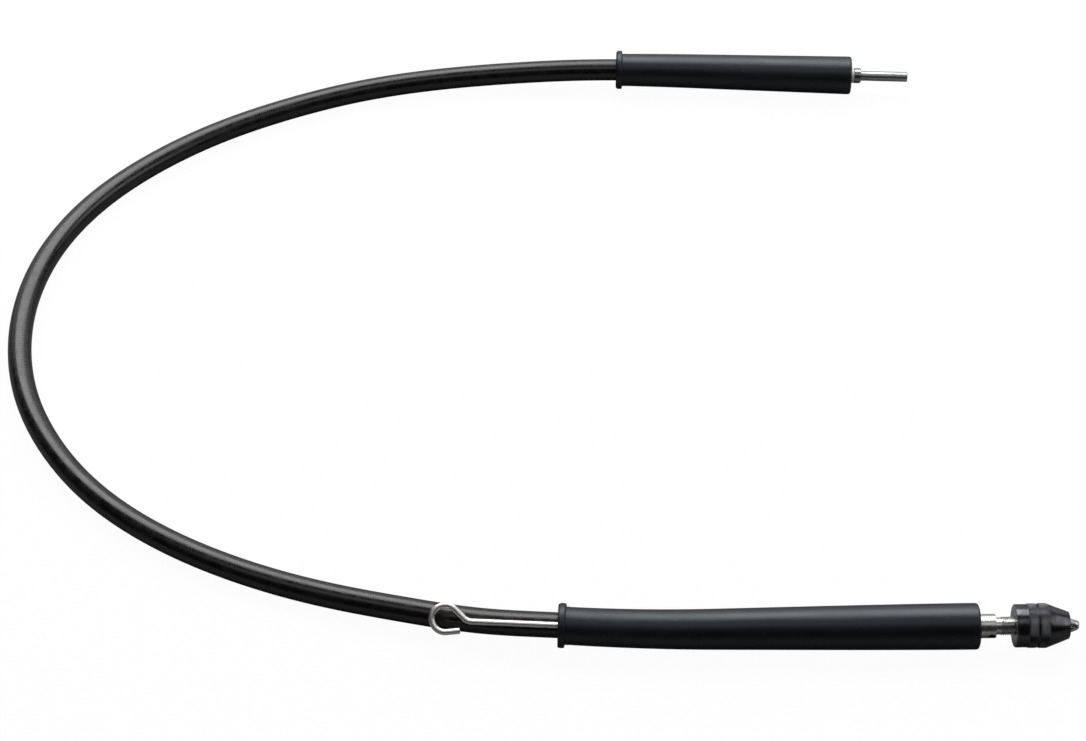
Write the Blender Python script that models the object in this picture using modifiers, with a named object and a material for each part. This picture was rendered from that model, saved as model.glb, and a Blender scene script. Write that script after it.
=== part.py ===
# Rotary tool on a flexible shaft: a drive end for a motor's chuck, a hose with a turning core inside,
# a handpiece with a three-jaw drill chuck, and the pin that locks the handpiece's spindle.
# Sizes are in metres. +X points out of both ends, +Y away from the front, +Z up, and the floor is z = 0.
# Each end has an empty at the mouth of its rubber sleeve, where the hose goes in. The empty's Z axis
# runs along the end, so a station is the distance from that mouth.

import bpy
import bmesh
from math import cos, pi, radians, sin, sqrt, tan
from mathutils import Matrix, Vector

# Clearances
GAP = 0.0003                      # between pieces that touch face to face
FIT = 0.00015                     # radial, between turned pieces
JAW_FIT = 0.0002                  # radial, round a jaw
SOFT_GAP = 0.00035                # round what lies inside the handpiece's sleeve
HOSE_TO_PIN = 0.000525            # between the hose and the lock pin

# Hose
CASING_DIAMETER = 0.0132
SHEATH_WALL = 0.0016
LINER_WALL = 0.0008
CORE_DIAMETER = 0.0055
RING_SPACING = 0.028              # between the rings of the hose's tubes
FLOOR_GAP = 0.0001                # under the hose where it lies on the floor

# Drive end
DRIVE_MOUTH = (-0.0547, 0.2251)
DRIVE_YAW = -3.3                  # degrees
DRIVE_SLEEVE_LENGTH = 0.1450
DRIVE_MOUTH_WALL = 0.0030
DRIVE_SLEEVE_WALL = 0.0027        # over the housing, at the front
DRIVE_BEAD_RISE = 0.0019
DRIVE_TAPER_SHARE = 0.97          # of the sleeve's length, over which it widens
DRIVE_BEND_REACH = 0.050
DRIVE_BEND_OFFSET = -0.00065
DRIVE_HOSE_DEPTH = 0.067
DRIVE_HOUSING_WALL = 0.0024
DRIVE_JOURNAL_DIAMETER = 0.0080
DRIVE_SHANK_DIAMETER = 0.0060
DRIVE_SHANK_LENGTH = 0.0285       # clear of the stop collar
DRIVE_BUSH_WALL = 0.0019
DRIVE_BUSH_LENGTH = 0.0100
DRIVE_BUSH_NOSE_STEP = 0.0005
DRIVE_SHANK_STEP = 0.0010         # where the journal ends, behind the sleeve's front
DRIVE_SHANK_CHAMFER = 0.0004
STOP_COLLAR_DIAMETER = 0.0093
STOP_COLLAR_WIDTH = 0.0041
STOP_COLLAR_STEP = 0.0008
STOP_COLLAR_LEDGE = 0.0004
THRUST_WASHER_DIAMETER = 0.0090
THRUST_WASHER_WIDTH = 0.0018

# Handpiece
HAND_MOUTH = (-0.0989, -0.2244)
HAND_SLEEVE_LENGTH = 0.2128
HAND_MOUTH_WALL = 0.0008
HAND_SLEEVE_WALL = 0.0025         # over the housing, at the front
HAND_BEAD_RISE = 0.0018
HAND_TAPER_SHARE = 0.95           # of the sleeve's length, over which it widens
HAND_TAPER_LINEAR = 0.45          # how much of the widening is even; the rest is an S curve
HAND_BEND_REACH = 0.080
HAND_BEND_OFFSET = 0.0038
HAND_HOSE_DEPTH = 0.088
HAND_HOUSING_WALL = 0.000925      # round the bearings
HAND_HOUSING_SHOULDER = 0.0011    # beside each bearing
SLEEVE_LIP = 0.0030               # rubber in front of a housing
SLEEVE_EDGE = 0.0018              # of the rounded front end
SLEEVE_EDGE_STEP = (0.0005, 0.0006)
BEAD_WIDTH = 0.0041
BEAD_EDGE = 0.0008

# Ferrules, which hold the hose's ends
FERRULE_GRIP = 0.0160
FERRULE_WALL = 0.0013
FERRULE_WEB = 0.0030
CORE_SOCKET_DEPTH = 0.0100
SOCKET_FLOOR = 0.0015             # between a core socket's bottom and the circlip's groove
CIRCLIP_WIDTH = 0.0008
CIRCLIP_DEPTH = 0.0004            # of its groove
CIRCLIP_RISE = 0.0011             # above the shaft
CIRCLIP_OPENING = 0.45            # half of it, as a share of the shaft's radius

# Handpiece bearings
SPINDLE_DIAMETER = 0.0080
BEARING_DIAMETER = 0.0160
BEARING_WIDTH = 0.0050
BALL_DIAMETER = 0.0022
BALL_COUNT = 8
CAGE_THICKNESS = 0.0009
CAGE_WIDTH = 0.0032
CAGE_CLEARANCE = 0.00035          # to both races
SPACER_WALL = 0.0009

# Spindle in front of the bearings
SPINDLE_COLLAR_DIAMETER = 0.0122
SPINDLE_COLLAR_LENGTH = 0.0180
SPINDLE_COLLAR_OUT = 0.0086       # in front of the sleeve
SPINDLE_COLLAR_CHAMFER = 0.0003
NECK_DIAMETER = 0.0087
NECK_LENGTH = 0.0030
THREAD_DIAMETER = 0.009525
THREAD_SHOWN = 0.0064
THREAD_HELD = 0.0085              # inside the chuck
THREAD_CHAMFER = 0.0006
CROSS_HOLE_DIAMETER = 0.0038
CROSS_HOLE_STATION = 0.0062       # in front of the sleeve
CROSS_HOLE_DIP = 12.0             # degrees that its front mouth points below level

# Drill chuck, whose stations are measured from its back face
CHUCK_RING_DIAMETER = 0.0219
CHUCK_RING_WIDTH = 0.0064
CHUCK_RING_EDGE = 0.0005
BODY_GRIP_DIAMETER = 0.0226
BODY_GRIP_WIDTH = 0.0047
CHUCK_GROOVE_WIDTH = 0.0007
CHUCK_GROOVE_DIAMETER = 0.0216
SLEEVE_GRIP_DIAMETER = 0.0228
SLEEVE_GRIP_WIDTH = 0.0052
SLEEVE_GRIP_CHAMFER = 0.0003
NOSE_CONE_LENGTH = 0.0108
NOSE_DIAMETER = 0.0137
CHUCK_SHELL_WALL = 0.0012
CHUCK_BORE_DIAMETER = 0.0045      # down the middle, for the bit's shank
CHUCK_CORE_INSET = 0.0008         # of the chuck's core behind the jaws' outsides
NUT_WIDTH = 0.0032
NUT_LEAD = 0.0009                 # in front of the cone's start
NUT_OUTER_WALL = 0.00175          # of the chuck's sleeve outside the nut
JAW_DIAMETER = 0.0050
JAW_LENGTH = 0.0184               # behind where the jaws' own axes meet
JAW_ANGLE = 19.5                  # degrees to the chuck's axis
JAW_OUT = 0.0051                  # in front of the nose
JAW_BLUNT = 0.0012                # the tips, in front of where their axes meet
JAW_TRAVEL = 0.0055
JAW_OVERRUN = 0.0050              # of a jaw's bore in front of where the axes meet
JAW_COUNT = 3
FIRST_JAW_TURN = 56.0             # degrees

# Lock pin
PIN_WIRE = 0.0032
PIN_DEPTH = 0.030                 # inside the sleeve
PIN_SHOWN = 0.0437                # straight length outside it
PIN_YAW = -4.0                    # degrees
PIN_TILT = 50.0                   # degrees above level, from the hose's middle to the pin
PIN_NECK_RADIUS = 0.0058
PIN_NECK_TURN = 42.0              # degrees
PIN_EYE_RADIUS = 0.0068
PIN_EYE_RISE = 0.00097
PIN_TAIL_TURN = 8.0               # degrees past the bottom of the eye
PIN_TAIL = 0.0069

# The hose's free route from the drive end to the handpiece: x, y, and the height that its underside
# is lifted above the floor.
FREE_ROUTE = [
    (-0.088, 0.2252, 0.0042),
    (-0.121, 0.2247, 0.0028),
    (-0.168, 0.2215, 0.0007),
    (-0.212, 0.2124, 0.0),
    (-0.256, 0.1958, 0.0),
    (-0.299, 0.1728, 0.0),
    (-0.336, 0.1442, 0.0),
    (-0.366, 0.1102, 0.0),
    (-0.386, 0.0722, 0.0),
    (-0.396, 0.0310, 0.0),
    (-0.3965, -0.0080, 0.0),
    (-0.3890, -0.0460, 0.0),
    (-0.3732, -0.0822, 0.0),
    (-0.3466, -0.1192, 0.0),
    (-0.3120, -0.1495, 0.0),
    (-0.2680, -0.1750, 0.0),
    (-0.2190, -0.1940, 0.0002),
    (-0.1770, -0.2060, 0.0014),
    (-0.1375, -0.2152, 0.0028),
]

TURNED_SIDES = 24
CHUCK_SIDES = 30
BEARING_SIDES = 20

# Worked out from the sizes above
CASING_RADIUS = CASING_DIAMETER / 2
CORE_RADIUS = CORE_DIAMETER / 2
LINER_RADIUS = CASING_RADIUS - SHEATH_WALL - 2 * GAP
HOSE_BORE = CASING_RADIUS + GAP
FERRULE_RADIUS = HOSE_BORE + FERRULE_WALL

HAND_BORE = CASING_RADIUS + PIN_WIRE / 2 + SOFT_GAP + HOSE_TO_PIN / 2
HAND_MOUTH_RADIUS = HAND_BORE + HAND_MOUTH_WALL
HOSE_OFFSET = HAND_BORE - SOFT_GAP - CASING_RADIUS
PIN_OFFSET = HAND_BORE - SOFT_GAP - PIN_WIRE / 2

SPINDLE_RADIUS = SPINDLE_DIAMETER / 2
RACE_BORE = SPINDLE_RADIUS + FIT
RACE_OUTSIDE = BEARING_DIAMETER / 2 - FIT / 2
BEARING_SEAT = RACE_OUTSIDE + FIT
PITCH_RADIUS = (RACE_BORE + RACE_OUTSIDE) / 2
HAND_HOUSING_RADIUS = BEARING_SEAT + HAND_HOUSING_WALL
HAND_TIGHT_BORE = max(HAND_HOUSING_RADIUS, FERRULE_RADIUS) + GAP
HAND_END_RADIUS = HAND_TIGHT_BORE + HAND_SLEEVE_WALL

DRIVE_JOURNAL_RADIUS = DRIVE_JOURNAL_DIAMETER / 2
DRIVE_SHANK_RADIUS = DRIVE_SHANK_DIAMETER / 2
DRIVE_BUSH_BORE = DRIVE_JOURNAL_RADIUS + FIT
DRIVE_BUSH_OUTSIDE = DRIVE_BUSH_BORE + DRIVE_BUSH_WALL
DRIVE_HOUSING_BORE = DRIVE_BUSH_OUTSIDE + FIT
DRIVE_HOUSING_RADIUS = DRIVE_HOUSING_BORE + DRIVE_HOUSING_WALL
DRIVE_MOUTH_RADIUS = HOSE_BORE + DRIVE_MOUTH_WALL
DRIVE_TIGHT_BORE = max(DRIVE_HOUSING_RADIUS, FERRULE_RADIUS) + GAP
DRIVE_END_RADIUS = DRIVE_TIGHT_BORE + DRIVE_SLEEVE_WALL

# Both ends lie on the floor, each on its widest round part.
HAND_HEIGHT = max(HAND_END_RADIUS, HAND_MOUTH_RADIUS + HAND_BEAD_RISE)
DRIVE_HEIGHT = max(DRIVE_END_RADIUS, DRIVE_MOUTH_RADIUS + DRIVE_BEAD_RISE)

# Stations along the handpiece
HAND_SEAT = HAND_HOSE_DEPTH + GAP
SPINDLE_TAIL = HAND_SEAT + FERRULE_WEB + GAP
SPINDLE_CIRCLIP = SPINDLE_TAIL + CORE_SOCKET_DEPTH + SOCKET_FLOOR
REAR_BEARING = SPINDLE_CIRCLIP + CIRCLIP_WIDTH + GAP
SPINDLE_COLLAR = HAND_SLEEVE_LENGTH + SPINDLE_COLLAR_OUT - SPINDLE_COLLAR_LENGTH
FRONT_BEARING = SPINDLE_COLLAR - GAP - BEARING_WIDTH
HAND_HOUSING_BACK = HAND_SEAT + FERRULE_WEB / 2 + GAP
HAND_HOUSING_FRONT = HAND_SLEEVE_LENGTH - SLEEVE_LIP - GAP
THREAD_START = HAND_SLEEVE_LENGTH + SPINDLE_COLLAR_OUT + NECK_LENGTH
CHUCK_BACK = THREAD_START + THREAD_SHOWN

# Stations along the drive end
DRIVE_SEAT = DRIVE_HOSE_DEPTH + GAP
DRIVE_TAIL = DRIVE_SEAT + FERRULE_WEB + GAP
DRIVE_HOUSING_BACK = DRIVE_SEAT + FERRULE_WEB / 2 + GAP
DRIVE_HOUSING_FRONT = DRIVE_SLEEVE_LENGTH - SLEEVE_LIP - GAP
DRIVE_CIRCLIP = DRIVE_TAIL + CORE_SOCKET_DEPTH + SOCKET_FLOOR
REAR_BUSH = DRIVE_CIRCLIP + CIRCLIP_WIDTH + GAP
FRONT_BUSH_FRONT = DRIVE_SLEEVE_LENGTH - FIT
THRUST_WASHER = DRIVE_SLEEVE_LENGTH + FIT
STOP_COLLAR = THRUST_WASHER + THRUST_WASHER_WIDTH + FIT

# Stations along the chuck, from its back face
BODY_GRIP = CHUCK_RING_WIDTH
CHUCK_GROOVE = BODY_GRIP + BODY_GRIP_WIDTH
CHUCK_SLEEVE_BACK = CHUCK_GROOVE + CHUCK_GROOVE_WIDTH
CONE_START = CHUCK_SLEEVE_BACK + SLEEVE_GRIP_WIDTH
NOSE = CONE_START + NOSE_CONE_LENGTH
JAW_TIP = NOSE + JAW_OUT
JAW_MEETING = JAW_TIP - JAW_BLUNT
CONE_SLOPE = (CHUCK_RING_DIAMETER - NOSE_DIAMETER) / 2 / NOSE_CONE_LENGTH
NUT_FRONT = CONE_START + NUT_LEAD
CONE_SHOULDER = NUT_FRONT + GAP
NUT_RADIUS = SLEEVE_GRIP_DIAMETER / 2 - NUT_OUTER_WALL

# Each material's colour, roughness and metallic value
FINISHES = {
    "sleeve_rubber": ((0.020, 0.022, 0.026), 0.62, 0.0),
    "hose_plastic": ((0.012, 0.012, 0.013), 0.38, 0.0),
    "ground_steel": ((0.62, 0.61, 0.60), 0.25, 1.0),
    "spring_steel": ((0.72, 0.69, 0.67), 0.22, 1.0),
    "tube_steel": ((0.45, 0.45, 0.46), 0.40, 1.0),
    "bearing_steel": ((0.66, 0.66, 0.67), 0.18, 1.0),
    "blackened_steel": ((0.030, 0.030, 0.032), 0.35, 0.9),
    "bronze": ((0.55, 0.36, 0.16), 0.35, 1.0),
    "white_nylon": ((0.80, 0.80, 0.78), 0.45, 0.0),
}


def new_collection(name):
    """An empty collection in the scene."""
    collection = bpy.data.collections.new(name)
    bpy.context.scene.collection.children.link(collection)
    return collection


def end_frame(name, mouth, height, yaw):
    """An empty at a sleeve's mouth, with its Z axis along that end of the tool."""
    empty = bpy.data.objects.new(name, None)
    empty.location = (mouth[0], mouth[1], height)
    empty.rotation_euler = (0, radians(90), radians(yaw))
    empty.empty_display_size = 0.02
    parts.objects.link(empty)
    return empty


def paint(piece, finish):
    """Give a piece its own material in one of the finishes."""
    colour, roughness, metallic = FINISHES[finish]
    material = bpy.data.materials.new(f"{piece.name}_{finish}")
    material.use_nodes = True
    shader = material.node_tree.nodes["Principled BSDF"]
    shader.inputs["Base Color"].default_value = (*colour, 1)
    shader.inputs["Roughness"].default_value = roughness
    shader.inputs["Metallic"].default_value = metallic
    piece.data.materials.clear()
    piece.data.materials.append(material)


def round_shading(mesh):
    """Smooth shading that keeps the turned edges crisp."""
    mesh.shade_smooth()
    mesh.set_sharp_from_angle(angle=radians(35))


def settled(piece):
    """The piece's mesh as its modifiers leave it."""
    graph = bpy.context.evaluated_depsgraph_get()
    mesh = bpy.data.meshes.new_from_object(piece.evaluated_get(graph))
    mesh.name = piece.name
    return mesh


def turned(name, outer, inner, finish, frame, sides=TURNED_SIDES):
    """A piece turned about its frame's Z axis. Both outlines are (station, radius) from back to front."""
    outline = list(reversed(outer)) + list(inner)
    mesh = bpy.data.meshes.new(name)
    edges = [(i, i + 1) for i in range(len(outline) - 1)]
    if outline[0][1] > 0:
        edges.append((len(outline) - 1, 0))
    mesh.from_pydata([(radius, 0, station) for station, radius in outline], edges, [])
    piece = bpy.data.objects.new(name, mesh)
    parts.objects.link(piece)
    screw = piece.modifiers.new("turn", "SCREW")
    screw.axis = "Z"
    screw.angle = 2 * pi
    screw.steps = sides
    screw.render_steps = sides
    screw.use_merge_vertices = True
    screw.merge_threshold = 0.00001
    piece.data = settled(piece)
    piece.modifiers.clear()
    bpy.data.meshes.remove(mesh)
    round_shading(piece.data)
    piece.parent = frame
    paint(piece, finish)
    return piece


def ring(name, back, front, bore, outside, finish, frame, sides=TURNED_SIDES):
    """A plain turned ring or tube."""
    return turned(name, [(back, outside), (front, outside)], [(back, bore), (front, bore)],
                  finish, frame, sides)


def as_cutter(piece):
    """Keep a piece out of the model: it only cuts or joins others."""
    piece.hide_render = True
    piece.display_type = "WIRE"
    return piece


def cutter_from(name, shape, frame):
    """A cutter from a bmesh, placed in an end's frame."""
    mesh = bpy.data.meshes.new(name)
    bmesh.ops.recalc_face_normals(shape, faces=shape.faces)
    shape.to_mesh(mesh)
    shape.free()
    piece = bpy.data.objects.new(name, mesh)
    cutters.objects.link(piece)
    piece.parent = frame
    return as_cutter(piece)


def boolean(piece, cutter, operation="DIFFERENCE"):
    """Cut a piece with another, or join or limit it by the other."""
    modifier = piece.modifiers.new(cutter.name, "BOOLEAN")
    modifier.operation = operation
    modifier.object = cutter
    modifier.solver = "EXACT"


def box_cutter(name, frame, low, high):
    """A box between two corners."""
    shape = bmesh.new()
    middle = (Vector(low) + Vector(high)) / 2
    size = Vector(high) - Vector(low)
    bmesh.ops.create_cube(shape, size=1, matrix=Matrix.Translation(middle) @ Matrix.Diagonal((*size, 1)))
    return cutter_from(name, shape, frame)


def rod_shape(shape, start, end, radius, sides):
    """Add a closed cylinder from one point to another to a bmesh."""
    along = Vector(end) - Vector(start)
    turn = along.to_track_quat("Z", "Y").to_matrix().to_4x4()
    middle = (Vector(start) + Vector(end)) / 2
    bmesh.ops.create_cone(shape, cap_ends=True, segments=sides, radius1=radius, radius2=radius,
                          depth=along.length, matrix=Matrix.Translation(middle) @ turn)


def soft_stations(reach, steps):
    """Stations at equal steps along the soft part of a sleeve."""
    return [reach * i / steps for i in range(1, steps + 1)]


def bend(piece, reach, offset):
    """Lead the soft end of a sleeve sideways towards the hose, most at its mouth."""
    for vertex in piece.data.vertices:
        if vertex.co.z < reach:
            vertex.co.y += offset * (1 - vertex.co.z / reach) ** 2


def smooth_path(route):
    """Points of a Catmull-Rom curve through the route, which include the route's own points."""
    points = [Vector(p) for p in route]
    path = [points[0]]
    for i in range(len(points) - 1):
        before = points[max(i - 1, 0)]
        a, b = points[i], points[i + 1]
        after = points[min(i + 2, len(points) - 1)]
        steps = max(1, round((b - a).length / RING_SPACING))
        for k in range(1, steps + 1):
            t = k / steps
            start = (b - before) * (t - 2 * t * t + t ** 3) / 2
            stop = (after - a) * (t ** 3 - t * t) / 2
            path.append(a * (1 - 3 * t * t + 2 * t ** 3) + b * (3 * t * t - 2 * t ** 3) + start + stop)
    return path


def curve_tube(name, points, radius, resolution, caps):
    """A mesh tube along points, made from a curve."""
    curve = bpy.data.curves.new(name, "CURVE")
    curve.dimensions = "3D"
    curve.bevel_depth = radius
    curve.bevel_resolution = resolution
    curve.use_fill_caps = caps
    spline = curve.splines.new("POLY")
    spline.points.add(len(points) - 1)
    for point, place in zip(spline.points, points):
        point.co = (*place, 1)
    guide = bpy.data.objects.new(name, curve)
    cutters.objects.link(guide)
    mesh = settled(guide)
    bpy.data.objects.remove(guide)
    bpy.data.curves.remove(curve)
    shape = bmesh.new()
    shape.from_mesh(mesh)
    bmesh.ops.remove_doubles(shape, verts=shape.verts, dist=0.000001)
    shape.to_mesh(mesh)
    shape.free()
    mesh.name = name
    piece = bpy.data.objects.new(name, mesh)
    parts.objects.link(piece)
    return piece


def hose_tube(name, points, radius, wall, resolution, finish):
    """A tube of the hose with open ends and a wall to the inside."""
    piece = curve_tube(name, points, radius, resolution, False)
    solidify = piece.modifiers.new("wall", "SOLIDIFY")
    solidify.thickness = wall
    solidify.offset = -1
    solidify.use_rim = True
    round_shading(piece.data)
    paint(piece, finish)
    return piece


def on_end(frame, station, aside=(0, 0)):
    """A world point at a station of an end, moved aside along the frame's X and Y axes."""
    return frame.matrix_world @ Vector((aside[0], aside[1], station))


def hose():
    """The hose's sheath, its wound liner, and the core that turns inside."""
    low = CASING_RADIUS + FLOOR_GAP
    free = [(x, y, low + lift) for x, y, lift in FREE_ROUTE]
    tilt = radians(PIN_TILT)

    def aside(station, share=1.0):
        lead = HAND_BEND_OFFSET * max(0, 1 - station / HAND_BEND_REACH) ** 2
        return (HOSE_OFFSET * share * sin(tilt), lead + HOSE_OFFSET * share * cos(tilt))

    drive_cup = DRIVE_HOSE_DEPTH - FERRULE_GRIP
    hand_cup = HAND_HOSE_DEPTH - FERRULE_GRIP
    start = [
        on_end(drive_end, DRIVE_TAIL + CORE_SOCKET_DEPTH - GAP),
        on_end(drive_end, DRIVE_HOSE_DEPTH),
        on_end(drive_end, drive_cup),
        on_end(drive_end, drive_cup / 2, (0, DRIVE_BEND_OFFSET / 4)),
        on_end(drive_end, 0, (0, DRIVE_BEND_OFFSET)),
    ]
    stop = [
        on_end(handpiece, 0, aside(0)),
        on_end(handpiece, hand_cup / 3, aside(hand_cup / 3)),
        on_end(handpiece, hand_cup * 2 / 3, aside(hand_cup * 2 / 3, 0.9)),
        on_end(handpiece, hand_cup),
        on_end(handpiece, HAND_HOSE_DEPTH),
        on_end(handpiece, SPINDLE_TAIL + CORE_SOCKET_DEPTH - GAP),
    ]
    path = smooth_path(start + free + stop)
    core = curve_tube("flex_core", path, CORE_RADIUS, 2, True)
    round_shading(core.data)
    paint(core, "tube_steel")
    inside = path[1:-1]
    hose_tube("casing_liner", inside, LINER_RADIUS, LINER_WALL, 2, "tube_steel")
    hose_tube("casing_sheath", inside, CASING_RADIUS, SHEATH_WALL, 3, "hose_plastic")


def bead_outline(radius):
    """The back end of a sleeve's outline: the raised bead round its mouth."""
    return [
        (0, radius - BEAD_EDGE),
        (BEAD_EDGE, radius),
        (BEAD_WIDTH - BEAD_EDGE, radius),
        (BEAD_WIDTH, radius - BEAD_EDGE),
    ]


def sleeve_end(length, radius):
    """The rounded front edge of a sleeve's outline."""
    back, drop = SLEEVE_EDGE_STEP
    return [(length - SLEEVE_EDGE, radius), (length - back, radius - drop), (length, radius - SLEEVE_EDGE)]


def handpiece_sleeve():
    """The rubber grip, slack round the hose and the pin at its mouth and tight over the housing."""
    full = HAND_SLEEVE_LENGTH * HAND_TAPER_SHARE
    soft = soft_stations(HAND_BEND_REACH, 6)

    def radius(station):
        t = min(1, max(0, (station - BEAD_WIDTH) / (full - BEAD_WIDTH)))
        share = HAND_TAPER_LINEAR * t + (1 - HAND_TAPER_LINEAR) * t * t * (3 - 2 * t)
        return HAND_MOUTH_RADIUS + (HAND_END_RADIUS - HAND_MOUTH_RADIUS) * share

    rigid = [HAND_BEND_REACH + (full - HAND_BEND_REACH) * i / 5 for i in range(1, 6)]
    outer = bead_outline(HAND_MOUTH_RADIUS + HAND_BEAD_RISE)
    outer += [(s, radius(s)) for s in [BEAD_WIDTH] + soft + rigid]
    outer += sleeve_end(HAND_SLEEVE_LENGTH, HAND_END_RADIUS)
    tight = HAND_TIGHT_BORE
    hole = SPINDLE_COLLAR_DIAMETER / 2 + 3 * GAP
    front = HAND_SLEEVE_LENGTH - SLEEVE_LIP
    slack = [0] + soft + [HAND_HOSE_DEPTH - GAP]
    inner = [(s, HAND_BORE) for s in slack]
    inner += [(HAND_HOUSING_BACK - GAP, tight), (front, tight), (front, hole)]
    inner += [(HAND_SLEEVE_LENGTH, hole)]
    piece = turned("handpiece_sleeve", outer, inner, "sleeve_rubber", handpiece)
    bend(piece, HAND_BEND_REACH, HAND_BEND_OFFSET)


def drive_sleeve():
    """The shorter rubber sleeve over the drive end."""
    soft = soft_stations(DRIVE_BEND_REACH, 4)
    full = DRIVE_SLEEVE_LENGTH * DRIVE_TAPER_SHARE

    def radius(station):
        t = (station - BEAD_WIDTH) / (full - BEAD_WIDTH)
        return DRIVE_MOUTH_RADIUS + (DRIVE_END_RADIUS - DRIVE_MOUTH_RADIUS) * t

    outer = bead_outline(DRIVE_MOUTH_RADIUS + DRIVE_BEAD_RISE)
    outer += [(s, radius(s)) for s in [BEAD_WIDTH] + soft]
    outer += sleeve_end(DRIVE_SLEEVE_LENGTH, DRIVE_END_RADIUS)
    tight = DRIVE_TIGHT_BORE
    hole = DRIVE_BUSH_OUTSIDE
    front = DRIVE_SLEEVE_LENGTH - SLEEVE_LIP
    cup = DRIVE_HOSE_DEPTH - FERRULE_GRIP
    inner = [(s, HOSE_BORE) for s in [0] + soft[:-1]]
    inner += [(cup - GAP, HOSE_BORE), (cup - GAP, tight), (front, tight), (front, hole)]
    inner += [(DRIVE_SLEEVE_LENGTH, hole)]
    piece = turned("drive_sleeve", outer, inner, "sleeve_rubber", drive_end)
    bend(piece, DRIVE_BEND_REACH, DRIVE_BEND_OFFSET)


def ferrule(name, frame, depth, plug_radius, plug_end, plug_bore):
    """A cup crimped on the hose's end, with a web that the core passes and a plug for the housing."""
    cup = depth - FERRULE_GRIP
    seat = depth + GAP
    shoulder = seat + FERRULE_WEB / 2
    outer = [
        (cup, FERRULE_RADIUS), (shoulder, FERRULE_RADIUS), (shoulder, plug_radius), (plug_end, plug_radius),
    ]
    inner = [
        (cup, HOSE_BORE), (seat, HOSE_BORE), (seat, CORE_RADIUS + 2 * GAP),
        (seat + FERRULE_WEB, CORE_RADIUS + 2 * GAP), (seat + FERRULE_WEB, plug_bore), (plug_end, plug_bore),
    ]
    turned(name, outer, inner, "tube_steel", frame)


def circlip(name, frame, station, shaft_radius):
    """A spring ring in a shaft's groove, open on one side."""
    groove = shaft_radius - CIRCLIP_DEPTH + FIT
    outside = shaft_radius + CIRCLIP_RISE
    piece = ring(name, station, station + CIRCLIP_WIDTH, groove, outside, "spring_steel", frame, BEARING_SIDES)
    opening = shaft_radius * CIRCLIP_OPENING
    cutter = box_cutter(f"{name}_opening", frame, (0, -opening, station - GAP),
                        (outside * 2, opening, station + CIRCLIP_WIDTH + GAP))
    boolean(piece, cutter)


def grooved(station, radius):
    """The outline across a shaft's circlip groove."""
    low = radius - CIRCLIP_DEPTH
    back, front = station - FIT, station + CIRCLIP_WIDTH + FIT
    return [(back, radius), (back, low), (front, low), (front, radius)]


def ball_bearing(name, station):
    """Two grooved races and a cage with its balls."""
    middle = station + BEARING_WIDTH / 2
    front = station + BEARING_WIDTH
    land = CAGE_THICKNESS / 2 + CAGE_CLEARANCE
    groove = BALL_DIAMETER / 2 + GAP
    reach = sqrt(groove ** 2 - land ** 2)
    track = [(middle - reach, land), (middle, groove), (middle + reach, land)]
    inner_track = [(s, PITCH_RADIUS - r) for s, r in track]
    outer_track = [(s, PITCH_RADIUS + r) for s, r in track]
    low, high = PITCH_RADIUS - land, PITCH_RADIUS + land
    turned(f"{name}_inner_race", [(station, low)] + inner_track + [(front, low)],
           [(station, RACE_BORE), (front, RACE_BORE)], "bearing_steel", handpiece, BEARING_SIDES)
    turned(f"{name}_outer_race", [(station, RACE_OUTSIDE), (front, RACE_OUTSIDE)],
           [(station, high)] + outer_track + [(front, high)], "bearing_steel", handpiece, BEARING_SIDES)
    cage = ring(f"{name}_cage", middle - CAGE_WIDTH / 2, middle + CAGE_WIDTH / 2,
                PITCH_RADIUS - CAGE_THICKNESS / 2, PITCH_RADIUS + CAGE_THICKNESS / 2,
                "bearing_steel", handpiece, BEARING_SIDES)
    balls = bmesh.new()
    for i in range(BALL_COUNT):
        turn = 2 * pi * (i + 0.5) / BALL_COUNT
        place = Vector((PITCH_RADIUS * cos(turn), PITCH_RADIUS * sin(turn), middle))
        bmesh.ops.create_uvsphere(balls, u_segments=6, v_segments=5, radius=BALL_DIAMETER / 2,
                                  matrix=Matrix.Translation(place))
    boolean(cage, cutter_from(f"{name}_balls", balls, handpiece), "UNION")


def handpiece_housing():
    """The steel tube that carries both bearings, with a shoulder for each."""
    rear_shoulder = REAR_BEARING + BEARING_WIDTH + GAP
    front_shoulder = FRONT_BEARING - GAP
    middle = BEARING_SEAT - HAND_HOUSING_SHOULDER
    inner = [
        (HAND_HOUSING_BACK, BEARING_SEAT), (rear_shoulder, BEARING_SEAT), (rear_shoulder, middle),
        (front_shoulder, middle), (front_shoulder, BEARING_SEAT), (HAND_HOUSING_FRONT, BEARING_SEAT),
    ]
    outer = [(HAND_HOUSING_BACK, HAND_HOUSING_RADIUS), (HAND_HOUSING_FRONT, HAND_HOUSING_RADIUS)]
    turned("handpiece_housing", outer, inner, "tube_steel", handpiece)


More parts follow.
